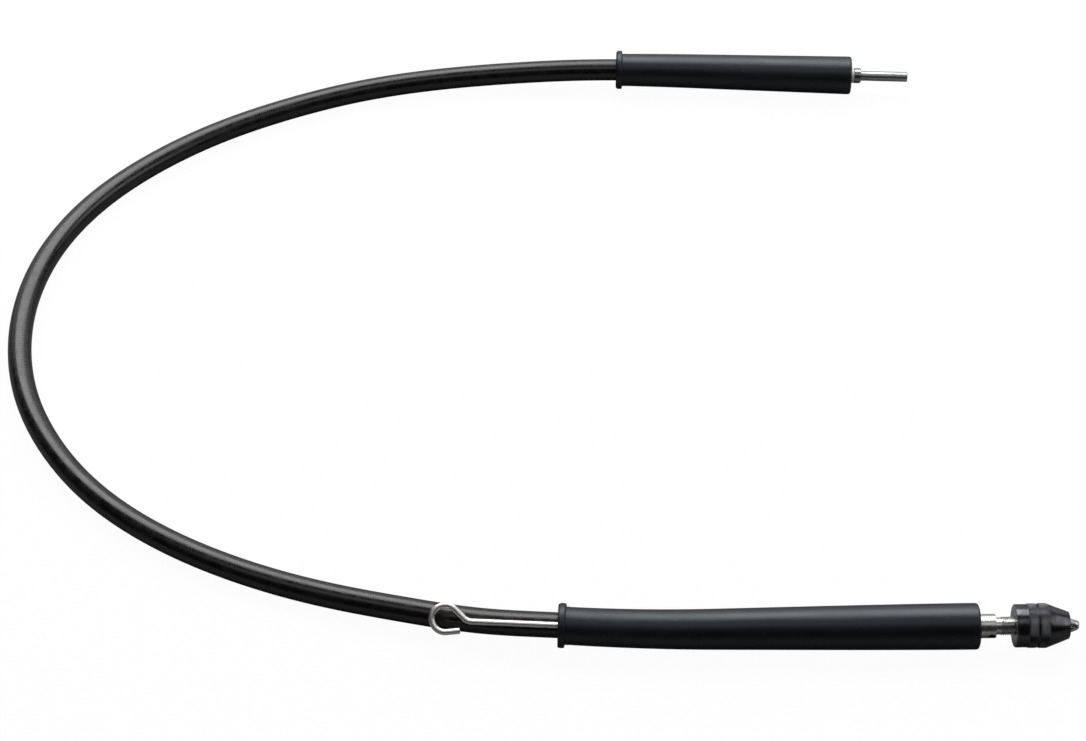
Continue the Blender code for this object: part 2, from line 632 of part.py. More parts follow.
def spindle():
    """The handpiece's shaft: socket for the core, journal, collar with its cross hole, and thread."""
    collar = SPINDLE_COLLAR_DIAMETER / 2
    collar_front = HAND_SLEEVE_LENGTH + SPINDLE_COLLAR_OUT
    thread = THREAD_DIAMETER / 2
    front = CHUCK_BACK + THREAD_HELD
    outer = [(SPINDLE_TAIL, SPINDLE_RADIUS)] + grooved(SPINDLE_CIRCLIP, SPINDLE_RADIUS)
    outer += [
        (SPINDLE_COLLAR, SPINDLE_RADIUS), (SPINDLE_COLLAR, collar),
        (collar_front - SPINDLE_COLLAR_CHAMFER, collar), (collar_front, collar - SPINDLE_COLLAR_CHAMFER),
        (collar_front, NECK_DIAMETER / 2), (THREAD_START, NECK_DIAMETER / 2),
        (THREAD_START, thread), (front - THREAD_CHAMFER, thread), (front, thread - THREAD_CHAMFER), (front, 0),
    ]
    socket = CORE_RADIUS + GAP
    bottom = SPINDLE_TAIL + CORE_SOCKET_DEPTH
    inner = [(SPINDLE_TAIL, socket), (bottom, socket), (bottom, 0)]
    piece = turned("spindle", outer, inner, "ground_steel", handpiece)
    dip = radians(CROSS_HOLE_DIP)
    across = Vector((sin(dip), -cos(dip), 0)) * SPINDLE_COLLAR_DIAMETER
    middle = Vector((0, 0, HAND_SLEEVE_LENGTH + CROSS_HOLE_STATION))
    hole = bmesh.new()
    rod_shape(hole, middle - across, middle + across, CROSS_HOLE_DIAMETER / 2, 16)
    boolean(piece, cutter_from("spindle_cross_hole", hole, handpiece))


def handpiece_bearings():
    """Both bearings, the spacer between them, and what keeps them in place."""
    ball_bearing("rear_bearing", REAR_BEARING)
    ball_bearing("front_bearing", FRONT_BEARING)
    ring("bearing_spacer", REAR_BEARING + BEARING_WIDTH + GAP, FRONT_BEARING - GAP,
         RACE_BORE, RACE_BORE + SPACER_WALL, "tube_steel", handpiece, BEARING_SIDES)
    ring("bearing_retainer", FRONT_BEARING + BEARING_WIDTH + GAP, HAND_HOUSING_FRONT,
         SPINDLE_COLLAR_DIAMETER / 2 + GAP, RACE_OUTSIDE, "tube_steel", handpiece)
    circlip("spindle_circlip", handpiece, SPINDLE_CIRCLIP, SPINDLE_RADIUS)


def drive_end_pieces():
    """The drive end's housing, bushes and shaft, with the ring and collar in front."""
    outer = [(DRIVE_HOUSING_BACK, DRIVE_HOUSING_RADIUS), (DRIVE_HOUSING_FRONT, DRIVE_HOUSING_RADIUS)]
    inner = [(DRIVE_HOUSING_BACK, DRIVE_HOUSING_BORE), (DRIVE_HOUSING_FRONT, DRIVE_HOUSING_BORE)]
    turned("drive_housing", outer, inner, "tube_steel", drive_end)
    ring("drive_bush_rear", REAR_BUSH, REAR_BUSH + DRIVE_BUSH_LENGTH, DRIVE_BUSH_BORE, DRIVE_BUSH_OUTSIDE,
         "bronze", drive_end)
    back = FRONT_BUSH_FRONT - DRIVE_BUSH_LENGTH - SLEEVE_LIP
    nose = DRIVE_BUSH_OUTSIDE - DRIVE_BUSH_NOSE_STEP
    outer = [
        (back, DRIVE_BUSH_OUTSIDE), (DRIVE_HOUSING_FRONT, DRIVE_BUSH_OUTSIDE),
        (DRIVE_HOUSING_FRONT, nose), (FRONT_BUSH_FRONT, nose),
    ]
    turned("drive_bush_front", outer, [(back, DRIVE_BUSH_BORE), (FRONT_BUSH_FRONT, DRIVE_BUSH_BORE)],
           "bronze", drive_end)
    circlip("drive_circlip", drive_end, DRIVE_CIRCLIP, DRIVE_JOURNAL_RADIUS)
    step = DRIVE_SLEEVE_LENGTH - DRIVE_SHANK_STEP
    tip = STOP_COLLAR + STOP_COLLAR_WIDTH + DRIVE_SHANK_LENGTH
    outer = [(DRIVE_TAIL, DRIVE_JOURNAL_RADIUS)] + grooved(DRIVE_CIRCLIP, DRIVE_JOURNAL_RADIUS)
    outer += [
        (step, DRIVE_JOURNAL_RADIUS), (step, DRIVE_SHANK_RADIUS),
        (tip - DRIVE_SHANK_CHAMFER, DRIVE_SHANK_RADIUS), (tip, DRIVE_SHANK_RADIUS - DRIVE_SHANK_CHAMFER),
        (tip, 0),
    ]
    socket = CORE_RADIUS + GAP
    bottom = DRIVE_TAIL + CORE_SOCKET_DEPTH
    turned("drive_pin", outer, [(DRIVE_TAIL, socket), (bottom, socket), (bottom, 0)],
           "ground_steel", drive_end)
    bore = DRIVE_SHANK_RADIUS + FIT
    ring("drive_thrust_washer", THRUST_WASHER, THRUST_WASHER + THRUST_WASHER_WIDTH, bore,
         THRUST_WASHER_DIAMETER / 2, "white_nylon", drive_end)
    radius = STOP_COLLAR_DIAMETER / 2
    front = STOP_COLLAR + STOP_COLLAR_WIDTH
    outer = [
        (STOP_COLLAR, radius), (front - STOP_COLLAR_STEP, radius),
        (front - STOP_COLLAR_STEP, radius - STOP_COLLAR_LEDGE), (front, radius - STOP_COLLAR_LEDGE),
    ]
    turned("drive_stop_collar", outer, [(STOP_COLLAR, bore), (front, bore)], "ground_steel", drive_end)


def jaw_reach(station, radius):
    """How far a jaw's rod of this radius stands out from the chuck's axis at a station of the chuck."""
    slope = radians(JAW_ANGLE)
    return (JAW_MEETING - station) * tan(slope) + radius / cos(slope)


def jaw_line(turn, along):
    """A point in the handpiece's frame on a jaw's own axis, this far behind where the axes meet."""
    slope = radians(JAW_ANGLE)
    out = along * sin(slope)
    return Vector((out * cos(turn), out * sin(turn), CHUCK_BACK + JAW_MEETING - along * cos(slope)))


def jaw_turns():
    """The angle of each jaw round the chuck."""
    return [radians(FIRST_JAW_TURN) + 2 * pi * i / JAW_COUNT for i in range(JAW_COUNT)]


def cone_radius(station):
    """The outside of the chuck's nose cone."""
    return CHUCK_RING_DIAMETER / 2 - (station - CONE_START) * CONE_SLOPE


def from_chuck(outline):
    """An outline of the chuck, moved to the handpiece's stations."""
    return [(CHUCK_BACK + station, radius) for station, radius in outline]


def chuck_body():
    """The part of the chuck on the spindle's thread, with an inclined bore for each jaw."""
    thread = THREAD_DIAMETER / 2 + FIT
    core = jaw_reach(NUT_FRONT, JAW_DIAMETER / 2) - CHUCK_CORE_INSET
    cone_back = CONE_SHOULDER + GAP
    inside = CHUCK_SHELL_WALL + GAP
    ring_radius, grip = CHUCK_RING_DIAMETER / 2, BODY_GRIP_DIAMETER / 2
    outer = [
        (0, ring_radius - CHUCK_RING_EDGE), (CHUCK_RING_EDGE, ring_radius), (BODY_GRIP, ring_radius),
        (BODY_GRIP, grip),
        (CHUCK_GROOVE, grip), (CHUCK_GROOVE, CHUCK_GROOVE_DIAMETER / 2),
        (CHUCK_SLEEVE_BACK - GAP, CHUCK_GROOVE_DIAMETER / 2), (CHUCK_SLEEVE_BACK - GAP, core),
        (cone_back, core), (cone_back, cone_radius(cone_back) - inside), (NOSE, cone_radius(NOSE) - inside),
    ]
    bottom = THREAD_HELD + 2 * GAP
    inner = [
        (0, thread), (bottom, thread), (bottom, CHUCK_BORE_DIAMETER / 2), (NOSE, CHUCK_BORE_DIAMETER / 2),
    ]
    piece = turned("chuck_body", from_chuck(outer), from_chuck(inner), "blackened_steel", handpiece,
                   CHUCK_SIDES)
    for i, turn in enumerate(jaw_turns()):
        bore = bmesh.new()
        back = JAW_LENGTH + JAW_TRAVEL + GAP
        rod_shape(bore, jaw_line(turn, back), jaw_line(turn, -JAW_OVERRUN), JAW_DIAMETER / 2 + JAW_FIT, 16)
        boolean(piece, cutter_from(f"jaw_bore_{i + 1}", bore, handpiece))


def chuck_sleeve():
    """The knurled ring and nose cone that the fingers turn."""
    grip = SLEEVE_GRIP_DIAMETER / 2
    outer = [
        (CHUCK_SLEEVE_BACK, grip), (CONE_START - SLEEVE_GRIP_CHAMFER, grip),
        (CONE_START, CHUCK_RING_DIAMETER / 2), (NOSE, NOSE_DIAMETER / 2),
    ]
    nut_bore = NUT_RADIUS + FIT
    inner = [
        (CHUCK_SLEEVE_BACK, nut_bore), (CONE_SHOULDER, nut_bore),
        (CONE_SHOULDER, cone_radius(CONE_SHOULDER) - CHUCK_SHELL_WALL),
        (NOSE, cone_radius(NOSE) - CHUCK_SHELL_WALL),
    ]
    turned("chuck_sleeve", from_chuck(outer), from_chuck(inner), "blackened_steel", handpiece, CHUCK_SIDES)


def chuck_nut():
    """The split nut that drives the jaws, as its two halves."""
    back = NUT_FRONT - NUT_WIDTH
    cone = [(s, jaw_reach(s, JAW_DIAMETER / 2) + GAP) for s in (back, NUT_FRONT)]
    wide = NUT_RADIUS * 2
    for half, side in ((1, 1), (2, -1)):
        piece = turned(f"chuck_nut_half_{half}", from_chuck([(back, NUT_RADIUS), (NUT_FRONT, NUT_RADIUS)]),
                       from_chuck(cone), "bearing_steel", handpiece, CHUCK_SIDES)
        near, far = sorted((side * GAP / 2, side * wide))
        half_space = box_cutter(f"nut_half_space_{half}", handpiece, (-wide, near, CHUCK_BACK),
                                (wide, far, CHUCK_BACK + NOSE))
        boolean(piece, half_space, "INTERSECT")


def jaw(number, turn):
    """One jaw: an inclined rod with two faces ground along the chuck's axis and a flat tip."""
    rod = bmesh.new()
    rod_shape(rod, jaw_line(turn, JAW_LENGTH), jaw_line(turn, -JAW_OVERRUN), JAW_DIAMETER / 2, 14)
    mesh = bpy.data.meshes.new(f"chuck_jaw_{number}")
    rod.to_mesh(mesh)
    rod.free()
    piece = bpy.data.objects.new(f"chuck_jaw_{number}", mesh)
    parts.objects.link(piece)
    piece.parent = handpiece
    round_shading(piece.data)
    paint(piece, "blackened_steel")
    half = pi / JAW_COUNT
    apex = GAP / 2 / sin(half)
    far = JAW_LENGTH
    wedge = bmesh.new()
    wide = apex + far * cos(half)
    corners = [(apex, 0), (wide, far * sin(half)), (wide, -far * sin(half))]
    ends = []
    for station in (CHUCK_BACK, CHUCK_BACK + JAW_TIP):
        turned_corners = [(x * cos(turn) - y * sin(turn), x * sin(turn) + y * cos(turn)) for x, y in corners]
        ends.append([wedge.verts.new((x, y, station)) for x, y in turned_corners])
    wedge.faces.new(ends[0])
    wedge.faces.new(ends[1])
    for i in range(3):
        k = (i + 1) % 3
        wedge.faces.new((ends[0][i], ends[0][k], ends[1][k], ends[1][i]))
    boolean(piece, cutter_from(f"jaw_wedge_{number}", wedge, handpiece), "INTERSECT")


def arc(centre, radius, start, stop, steps):
    """Points along an arc, with its angles in degrees."""
    angles = [radians(start + (stop - start) * i / steps) for i in range(steps + 1)]
    return [(centre[0] + radius * cos(a), centre[1] + radius * sin(a)) for a in angles]


def lock_pin():
    """A wire pin with an eye, kept between the hose and the sleeve. Its wire lies in its own XY plane."""
    neck = radians(PIN_NECK_TURN)
    neck_end = PIN_SHOWN + PIN_NECK_RADIUS * tan(neck / 2)
    touch = (PIN_EYE_RISE + PIN_EYE_RADIUS * cos(neck)) / tan(neck)
    eye = (-neck_end - touch - PIN_EYE_RADIUS * sin(neck), PIN_EYE_RISE)
    flat = [(PIN_DEPTH, 0), (0, 0)]
    flat += arc((-PIN_SHOWN, PIN_NECK_RADIUS), PIN_NECK_RADIUS, 270, 270 - PIN_NECK_TURN, 3)
    flat += arc(eye, PIN_EYE_RADIUS, 90 - PIN_NECK_TURN, 270 + PIN_TAIL_TURN, 16)
    tail = radians(PIN_TAIL_TURN)
    last = flat[-1]
    flat.append((last[0] + PIN_TAIL * cos(tail), last[1] + PIN_TAIL * sin(tail)))
    piece = curve_tube("lock_pin", [(x, y, 0) for x, y in flat], PIN_WIRE / 2, 2, True)
    tilt = radians(PIN_TILT)
    piece.location = on_end(handpiece, 0, (-PIN_OFFSET * sin(tilt), HAND_BEND_OFFSET - PIN_OFFSET * cos(tilt)))
    piece.rotation_euler = (radians(90 - PIN_TILT), 0, radians(PIN_YAW))
    round_shading(piece.data)
    paint(piece, "spring_steel")


for leftover in list(bpy.data.objects):
    bpy.data.objects.remove(leftover)

parts = new_collection("flex_shaft_rotary_tool")
cutters = new_collection("cutters")
drive_end = end_frame("drive_end_axis", DRIVE_MOUTH, DRIVE_HEIGHT, DRIVE_YAW)
handpiece = end_frame("handpiece_axis", HAND_MOUTH, HAND_HEIGHT, 0)
bpy.context.view_layer.update()

hose()
drive_sleeve()
ferrule("drive_ferrule", drive_end, DRIVE_HOSE_DEPTH, DRIVE_BUSH_OUTSIDE, REAR_BUSH - GAP,
        DRIVE_JOURNAL_RADIUS + CIRCLIP_RISE + GAP)
drive_end_pieces()
handpiece_sleeve()
ferrule("handpiece_ferrule", handpiece, HAND_HOSE_DEPTH, RACE_OUTSIDE, REAR_BEARING - GAP,
        SPINDLE_RADIUS + CIRCLIP_RISE + GAP)
handpiece_housing()
handpiece_bearings()
spindle()
chuck_body()
chuck_sleeve()
chuck_nut()
for number, jaw_turn in enumerate(jaw_turns(), 1):
    jaw(number, jaw_turn)
lock_pin()
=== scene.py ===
# A rotary tool on a flexible shaft, dressed over its CAD frame: hose, two rubber sleeves,
# the handpiece's spindle with its three-jaw chuck, the drive shank and the lock pin.
import bpy
import numpy as np
from math import cos, pi, radians, sin, tan
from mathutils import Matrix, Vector


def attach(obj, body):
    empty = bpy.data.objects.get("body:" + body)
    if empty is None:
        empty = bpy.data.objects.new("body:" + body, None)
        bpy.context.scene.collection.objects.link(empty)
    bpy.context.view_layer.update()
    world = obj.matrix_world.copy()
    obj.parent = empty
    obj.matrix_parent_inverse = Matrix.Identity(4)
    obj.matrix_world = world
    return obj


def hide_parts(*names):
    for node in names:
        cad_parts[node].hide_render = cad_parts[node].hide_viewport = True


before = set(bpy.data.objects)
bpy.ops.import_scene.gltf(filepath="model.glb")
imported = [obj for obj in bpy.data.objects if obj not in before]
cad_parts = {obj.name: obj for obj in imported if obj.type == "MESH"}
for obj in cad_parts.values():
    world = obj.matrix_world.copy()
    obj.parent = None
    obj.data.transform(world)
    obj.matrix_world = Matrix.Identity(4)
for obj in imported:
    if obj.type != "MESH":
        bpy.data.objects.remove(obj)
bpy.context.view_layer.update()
scene = bpy.context.scene
print("frame loaded:", len(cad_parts), "nodes")


# ---- the camera ----

camera = {"place": (-0.1200, -1.1331, 1.1070), "turn": (45.0, 0.0, -0.85), "lens": 92.92, "sensor": 36.0}


def addCamera(at):
    data = bpy.data.cameras.new("studioCamera")
    data.lens = at["lens"]
    data.sensor_width = at["sensor"]
    data.clip_start, data.clip_end = 0.05, 50
    eye = bpy.data.objects.new("studioCamera", data)
    eye.location = at["place"]
    eye.rotation_euler = [radians(a) for a in at["turn"]]
    scene.collection.objects.link(eye)
    scene.camera = eye


addCamera(camera)


# ---- meshes from arrays ----

def meshObject(name, points, corners, starts, uvs, values, sharp):
    # a mesh whose faces are the runs of corners between the starts; turned over if its volume is negative
    sizes = np.diff(np.append(starts, len(corners)))
    first = points[np.repeat(corners[starts], sizes)]
    here = points[corners]
    after = np.arange(len(corners)) + 1
    after[np.cumsum(sizes) - 1] = starts
    if np.einsum("ij,ij->i", first, np.cross(here, points[corners[after]])).sum() < 0:
        order = np.repeat(starts + sizes, sizes) - 1 - (np.arange(len(corners)) - np.repeat(starts, sizes))
        corners, uvs = corners[order], uvs[order]
    mesh = bpy.data.meshes.new(name)
    mesh.vertices.add(len(points))
    mesh.vertices.foreach_set("co", points.astype(np.float32).ravel())
    mesh.loops.add(len(corners))
    mesh.loops.foreach_set("vertex_index", corners.astype(np.int32))
    mesh.polygons.add(len(starts))
    mesh.polygons.foreach_set("loop_start", starts.astype(np.int32))
    mesh.update(calc_edges=True)
    mesh.uv_layers.new(name="along").data.foreach_set("uv", uvs.astype(np.float32).ravel())
    for key, array in (values or {}).items():
        mesh.attributes.new(key, "FLOAT", "POINT").data.foreach_set("value", array.astype(np.float32).ravel())
    mesh.shade_smooth()
    mesh.set_sharp_from_angle(angle=radians(sharp))
    piece = bpy.data.objects.new(name, mesh)
    scene.collection.objects.link(piece)
    return piece


def loft(name, rings, along, closed=False, values=None, sharp=35):
    # rings[i, j] is point j of ring i. Each ring joins the next by quads. A closed loft joins the last
    # ring to the first; otherwise a fan round its middle closes each end. UV is (along in cm, share round).
    n, m = rings.shape[:2]
    i, j = np.meshgrid(np.arange(n if closed else n - 1), np.arange(m), indexing="ij")
    k, l = (i + 1) % n, (j + 1) % m
    quads = np.stack([i * m + j, k * m + j, k * m + l, i * m + l], -1).reshape(-1, 4)
    u = np.asarray(along) * 100
    uv = np.stack([np.stack([u[i], j / m], -1), np.stack([u[k], j / m], -1),
                   np.stack([u[k], (j + 1) / m], -1), np.stack([u[i], (j + 1) / m], -1)], 2).reshape(-1, 2)
    points, corners, starts = rings.reshape(-1, 3), quads.ravel(), np.arange(len(quads)) * 4
    if not closed:
        a = np.arange(m)
        b = (a + 1) % m
        points = np.vstack([points, rings[0].mean(0), rings[-1].mean(0)])
        back = np.stack([a, b, np.full(m, n * m)], -1)
        front = np.stack([b, a, np.full(m, n * m + 1)], -1) + [(n - 1) * m, (n - 1) * m, 0]
        starts = np.append(starts, len(corners) + np.arange(2 * m) * 3)
        corners = np.concatenate([corners, back.ravel(), front.ravel()])
        share = np.stack([a, a + 1, a + 0.5], -1) / m
        uv = np.vstack([uv] + [np.stack([np.full((m, 3), u[e]), share], -1).reshape(-1, 2) for e in (0, -1)])
        values = {key: np.append(v.ravel(), [v[0].mean(), v[-1].mean()]) for key, v in (values or {}).items()}
    return meshObject(name, points, corners, starts, uv, values, sharp)


def roundedOutline(corners, steps=4):
    # corners are (station, radius, fillet). Each corner with a fillet becomes an arc's points: on the
    # quadratic curve p(t) = (1-t)^2 a + 2t(1-t) c + t^2 b between the two points a fillet away from corner c,
    # or just under halfway to the next corner if that is nearer
    out, halfway = [], 0.49
    for i, (s, r, fillet) in enumerate(corners):
        here = np.array([s, r])
        if not fillet:
            out.append(here)
            continue
        before = np.array(corners[i - 1][:2]) - here
        after = np.array(corners[(i + 1) % len(corners)][:2]) - here
        a = here + before / np.linalg.norm(before) * min(fillet, np.linalg.norm(before) * halfway)
        b = here + after / np.linalg.norm(after) * min(fillet, np.linalg.norm(after) * halfway)
        t = np.linspace(0, 1, steps + 1)[:, None]
        out.extend((1 - t) ** 2 * a + 2 * t * (1 - t) * here + t ** 2 * b)
    return np.array(out)


def turnedRings(end, outline, sides, bow=None, radii=None):
    # point = mouth + axis * station + side * bow + radius * (side' * cos(angle) + up * sin(angle)), where
    # side' = side - bow's slope * axis leans each ring with the bow
    angle = np.linspace(0, 2 * pi, sides, endpoint=False)
    mouth, axis, side = (np.array(end[k]) for k in ("mouth", "axis", "side"))
    s = outline[:, 0][:, None, None]
    r = outline[:, 1][:, None, None] if radii is None else radii[..., None]
    across, up = np.cos(angle)[:, None], np.sin(angle)[:, None] * np.array([0, 0, 1])
    if bow is None:
        return mouth + s * axis + r * (across * side + up)
    nudge = 0.0005
    lean = (bow(s + nudge) - bow(s - nudge)) / (2 * nudge)
    return mouth + s * axis + bow(s) * side + r * (across * (side - lean * axis) + up)


def turnedPiece(name, end, corners, sides=96, closed=True, bow=None, steps=4, sharp=35):
    # a piece turned about one end of the tool, from an outline whose corners may be rounded
    outline = roundedOutline(corners, steps)
    length = np.cumsum(np.append(0, np.hypot(*np.diff(outline, axis=0).T)))
    return loft(name, turnedRings(end, outline, sides, bow), length, closed, None, sharp)


def splineThrough(points, count):
    # natural cubic spline through the points, over their chord length: on each span
    # p = (1-t) a + t b + h^2/6 (((1-t)^3 - (1-t)) ka + (t^3 - t) kb), with the second derivatives k
    p = np.array(points)
    u = np.cumsum(np.append(0, np.linalg.norm(np.diff(p, axis=0), axis=1)))
    h, n = np.diff(u), len(p)
    system, right = np.eye(n), np.zeros((n, 3))
    inner = np.arange(1, n - 1)
    system[inner, inner - 1], system[inner, inner + 1] = h[:-1], h[1:]
    system[inner, inner] = 2 * (h[:-1] + h[1:])
    slopes = np.diff(p, axis=0) / h[:, None]
    right[1:-1] = 6 * np.diff(slopes, axis=0)
    k = np.linalg.solve(system, right)
    at = np.linspace(0, u[-1], count)
    i = np.clip(np.searchsorted(u, at, side="right") - 1, 0, n - 2)
    t = ((at - u[i]) / h[i])[:, None]
    hh = (h[i] ** 2 / 6)[:, None]
    return (1 - t) * p[i] + t * p[i + 1] + hh * (((1 - t) ** 3 - (1 - t)) * k[i] + (t ** 3 - t) * k[i + 1])


class Line:
    # a smooth path with points, sideways and upward directions at any distance along it
    def __init__(self, points):
        self.fine = points
        self.far = np.cumsum(np.append(0, np.linalg.norm(np.diff(points, axis=0), axis=1)))
        self.length = self.far[-1]

    def at(self, distance):
        return np.stack([np.interp(distance, self.far, self.fine[:, k]) for k in range(3)], -1)

    def directions(self, distance):
        reach = 0.002
        ahead = self.at(np.minimum(distance + reach, self.length)) - self.at(np.maximum(distance - reach, 0))
        ahead /= np.linalg.norm(ahead, axis=-1, keepdims=True)
        side = np.cross(ahead, [0, 0, 1])
        side /= np.linalg.norm(side, axis=-1, keepdims=True)
        return side, np.cross(side, ahead)

    def tube(self, distance, radius, angle):
        # point = line(distance) + radius * (side * cos(angle) + up * sin(angle))
        side, up = self.directions(distance)
        spoke = side[:, None] * np.cos(angle)[..., None] + up[:, None] * np.sin(angle)[..., None]
        return self.at(distance)[:, None] + radius[..., None] * spoke


# ---- the two ends of the tool ----

handpiece = {"mouth": (-0.0989, -0.2244, 0.0118), "axis": (1.0, 0.0, 0.0), "side": (0.0, 1.0, 0.0)}
driveEnd = {"mouth": (-0.0547, 0.2251, 0.0118), "axis": (0.998342, -0.057564, 0.0),
            "side": (0.057564, 0.998342, 0.0)}

hoseRoute = [
    (0.01219, 0.22124, 0.0118), (-0.00378, 0.22216, 0.0118), (-0.02925, 0.22347, 0.0118),
    (-0.05474, 0.22445, 0.0118), (-0.088, 0.2252, 0.0109), (-0.121, 0.2247, 0.0095),
    (-0.168, 0.2215, 0.0074), (-0.212, 0.2124, 0.0067), (-0.256, 0.1958, 0.0067),
    (-0.299, 0.1728, 0.0067), (-0.336, 0.1442, 0.0067), (-0.366, 0.1102, 0.0067),
    (-0.386, 0.0722, 0.0067), (-0.396, 0.031, 0.0067), (-0.3965, -0.008, 0.0067),
    (-0.389, -0.046, 0.0067), (-0.3732, -0.0822, 0.0067), (-0.3466, -0.1192, 0.0067),
    (-0.312, -0.1495, 0.0067), (-0.268, -0.175, 0.0067), (-0.219, -0.194, 0.0069),
    (-0.177, -0.206, 0.0081), (-0.1375, -0.2152, 0.0095), (-0.0989, -0.2194, 0.01037),
    (-0.0749, -0.22134, 0.01037), (-0.0509, -0.22271, 0.01052), (-0.0269, -0.2244, 0.0118),
    (-0.0109, -0.2244, 0.0118),
]

# The hose: a sheath that shows the winding under it, the flat wire of that winding, and the core.
hose = {"diameter": 0.0132, "wall": 0.0016, "sides": 28, "ribPitch": 0.0013, "ribHeight": 0.00006,
        "ringsPerRib": 4, "plainEnd": 0.060, "fade": 0.005, "coarseStep": 0.004, "lineSteps": 4000,
        "exit": (-0.0269, -0.2244, 0.0118)}
hoseLiner = {"radius": 0.0044, "thickness": 0.0007, "wireWidth": 0.0017, "pitch": 0.0024, "stepsPerTurn": 12}
hoseCore = {"radius": 0.00275, "strands": 6, "sidesPerStrand": 4, "lay": 0.040, "step": 0.0016,
            "dent": 0.00035}


def makeHose():
    line = Line(splineThrough(hoseRoute, hose["lineSteps"]))
    radius = hose["diameter"] / 2
    angle = np.linspace(0, 2 * pi, hose["sides"], endpoint=False)
    # outside: fine rings where the winding shows, coarse ones inside the sleeves; inside: coarse rings back
    ribbed = line.length - 2 * hose["plainEnd"]
    fine = hose["plainEnd"] + np.linspace(0, ribbed, round(ribbed / hose["ribPitch"] * hose["ringsPerRib"]))
    plain = np.arange(0, hose["plainEnd"], hose["coarseStep"])
    outside = np.concatenate([plain, fine, line.length - plain[::-1]])
    inside = np.linspace(line.length, 0, round(line.length / hose["coarseStep"]))
    # radius = R - h * (1 - |cos(pi (s / pitch + angle / turn))|), a rounded rib on a fine helix
    wave = np.abs(np.cos(pi * (outside[:, None] / hose["ribPitch"] + angle / (2 * pi))))
    inward = np.minimum(outside, line.length - outside) - hose["plainEnd"]
    shown = np.clip(inward / hose["fade"], 0, 1)[:, None]
    outer = radius - hose["ribHeight"] * (1 - wave) * shown
    bore = np.full((len(inside), len(angle)), radius - hose["wall"])
    distance = np.concatenate([outside, inside])
    rings = line.tube(distance, np.vstack([outer, bore]), angle[None])
    values = {"rib": np.vstack([wave * shown, np.ones_like(bore)])}
    piece = loft("hoseSheath", rings, distance, True, values, 60)
    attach(piece, "casing")
    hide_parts("casing_sheath")

    # the liner: a flat strip's four corners carried along a helix of the line
    turns = line.length / hoseLiner["pitch"]
    turn = np.linspace(0, turns, round(turns * hoseLiner["stepsPerTurn"]))
    far = turn * hoseLiner["pitch"]
    half = hoseLiner["wireWidth"] / 2
    corners = []
    wall = hoseLiner["thickness"]
    for shift, drop in ((-half, 0), (half, 0), (half, wall), (-half, wall)):
        reach = np.clip(far + shift, 0, line.length)
        size = np.full((len(far), 1), hoseLiner["radius"] - drop)
        corners.append(line.tube(reach, size, (2 * pi * turn)[:, None])[:, 0])
    liner = loft("hoseLiner", np.stack(corners, 1), far, False, None, 60)
    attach(liner, "casing")
    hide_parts("casing_liner")

    # the core: radius = R - dent * (1 - |cos(strands * angle / 2)|), turning once in each lay
    far = np.arange(0, line.length, hoseCore["step"])
    around = np.linspace(0, 2 * pi, hoseCore["strands"] * hoseCore["sidesPerStrand"], endpoint=False)
    size = hoseCore["radius"] - hoseCore["dent"] * (1 - np.abs(np.cos(hoseCore["strands"] * around / 2)))
    twisted = around[None] + 2 * pi * far[:, None] / hoseCore["lay"]
    rings = line.tube(far, np.broadcast_to(size, twisted.shape), twisted)
    core = loft("hoseCore", rings, far, False, None, 60)
    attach(core, "casing")
    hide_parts("flex_core")
    print("hose:", round(line.length, 3), "m long,", len(outside), "rings")
    return piece, liner, core


hoseSheath, linerPiece, corePiece = makeHose()


# ---- rubber sleeves ----

# Sizes along each sleeve start at its mouth, where the hose goes in. A plain band follows the bead.
handpieceSleeve = {"length": 0.2128, "bead": 0.0114125, "beadWidth": 0.0038, "mouth": 0.0096125,
                   "front": 0.0118, "bore": 0.0088125, "tight": 0.0093, "hole": 0.0070, "grip": 0.0888,
                   "lip": 0.0030, "bow": 0.0038, "bowReach": 0.080, "taper": 0.95, "evenShare": 0.45,
                   "band": 0.00010}
driveSleeve = {"length": 0.1450, "bead": 0.0118, "beadWidth": 0.0038, "mouth": 0.0099, "front": 0.0116,
               "bore": 0.0069, "tight": 0.0089, "hole": 0.00605, "grip": 0.0507, "lip": 0.0030,
               "bow": -0.00065, "bowReach": 0.050, "taper": 0.97, "evenShare": 1.0, "band": 0.00006}
sleeveEdges = {"beadBack": 0.0019, "beadFront": 0.0015, "front": 0.0016, "hole": 0.0004, "mouth": 0.0005,
               "crease": 0.0002, "bandWidth": 0.0022, "bandEdge": 0.0004, "bandFoot": 0.0003,
               "frontWidth": 0.004, "inset": 0.001}


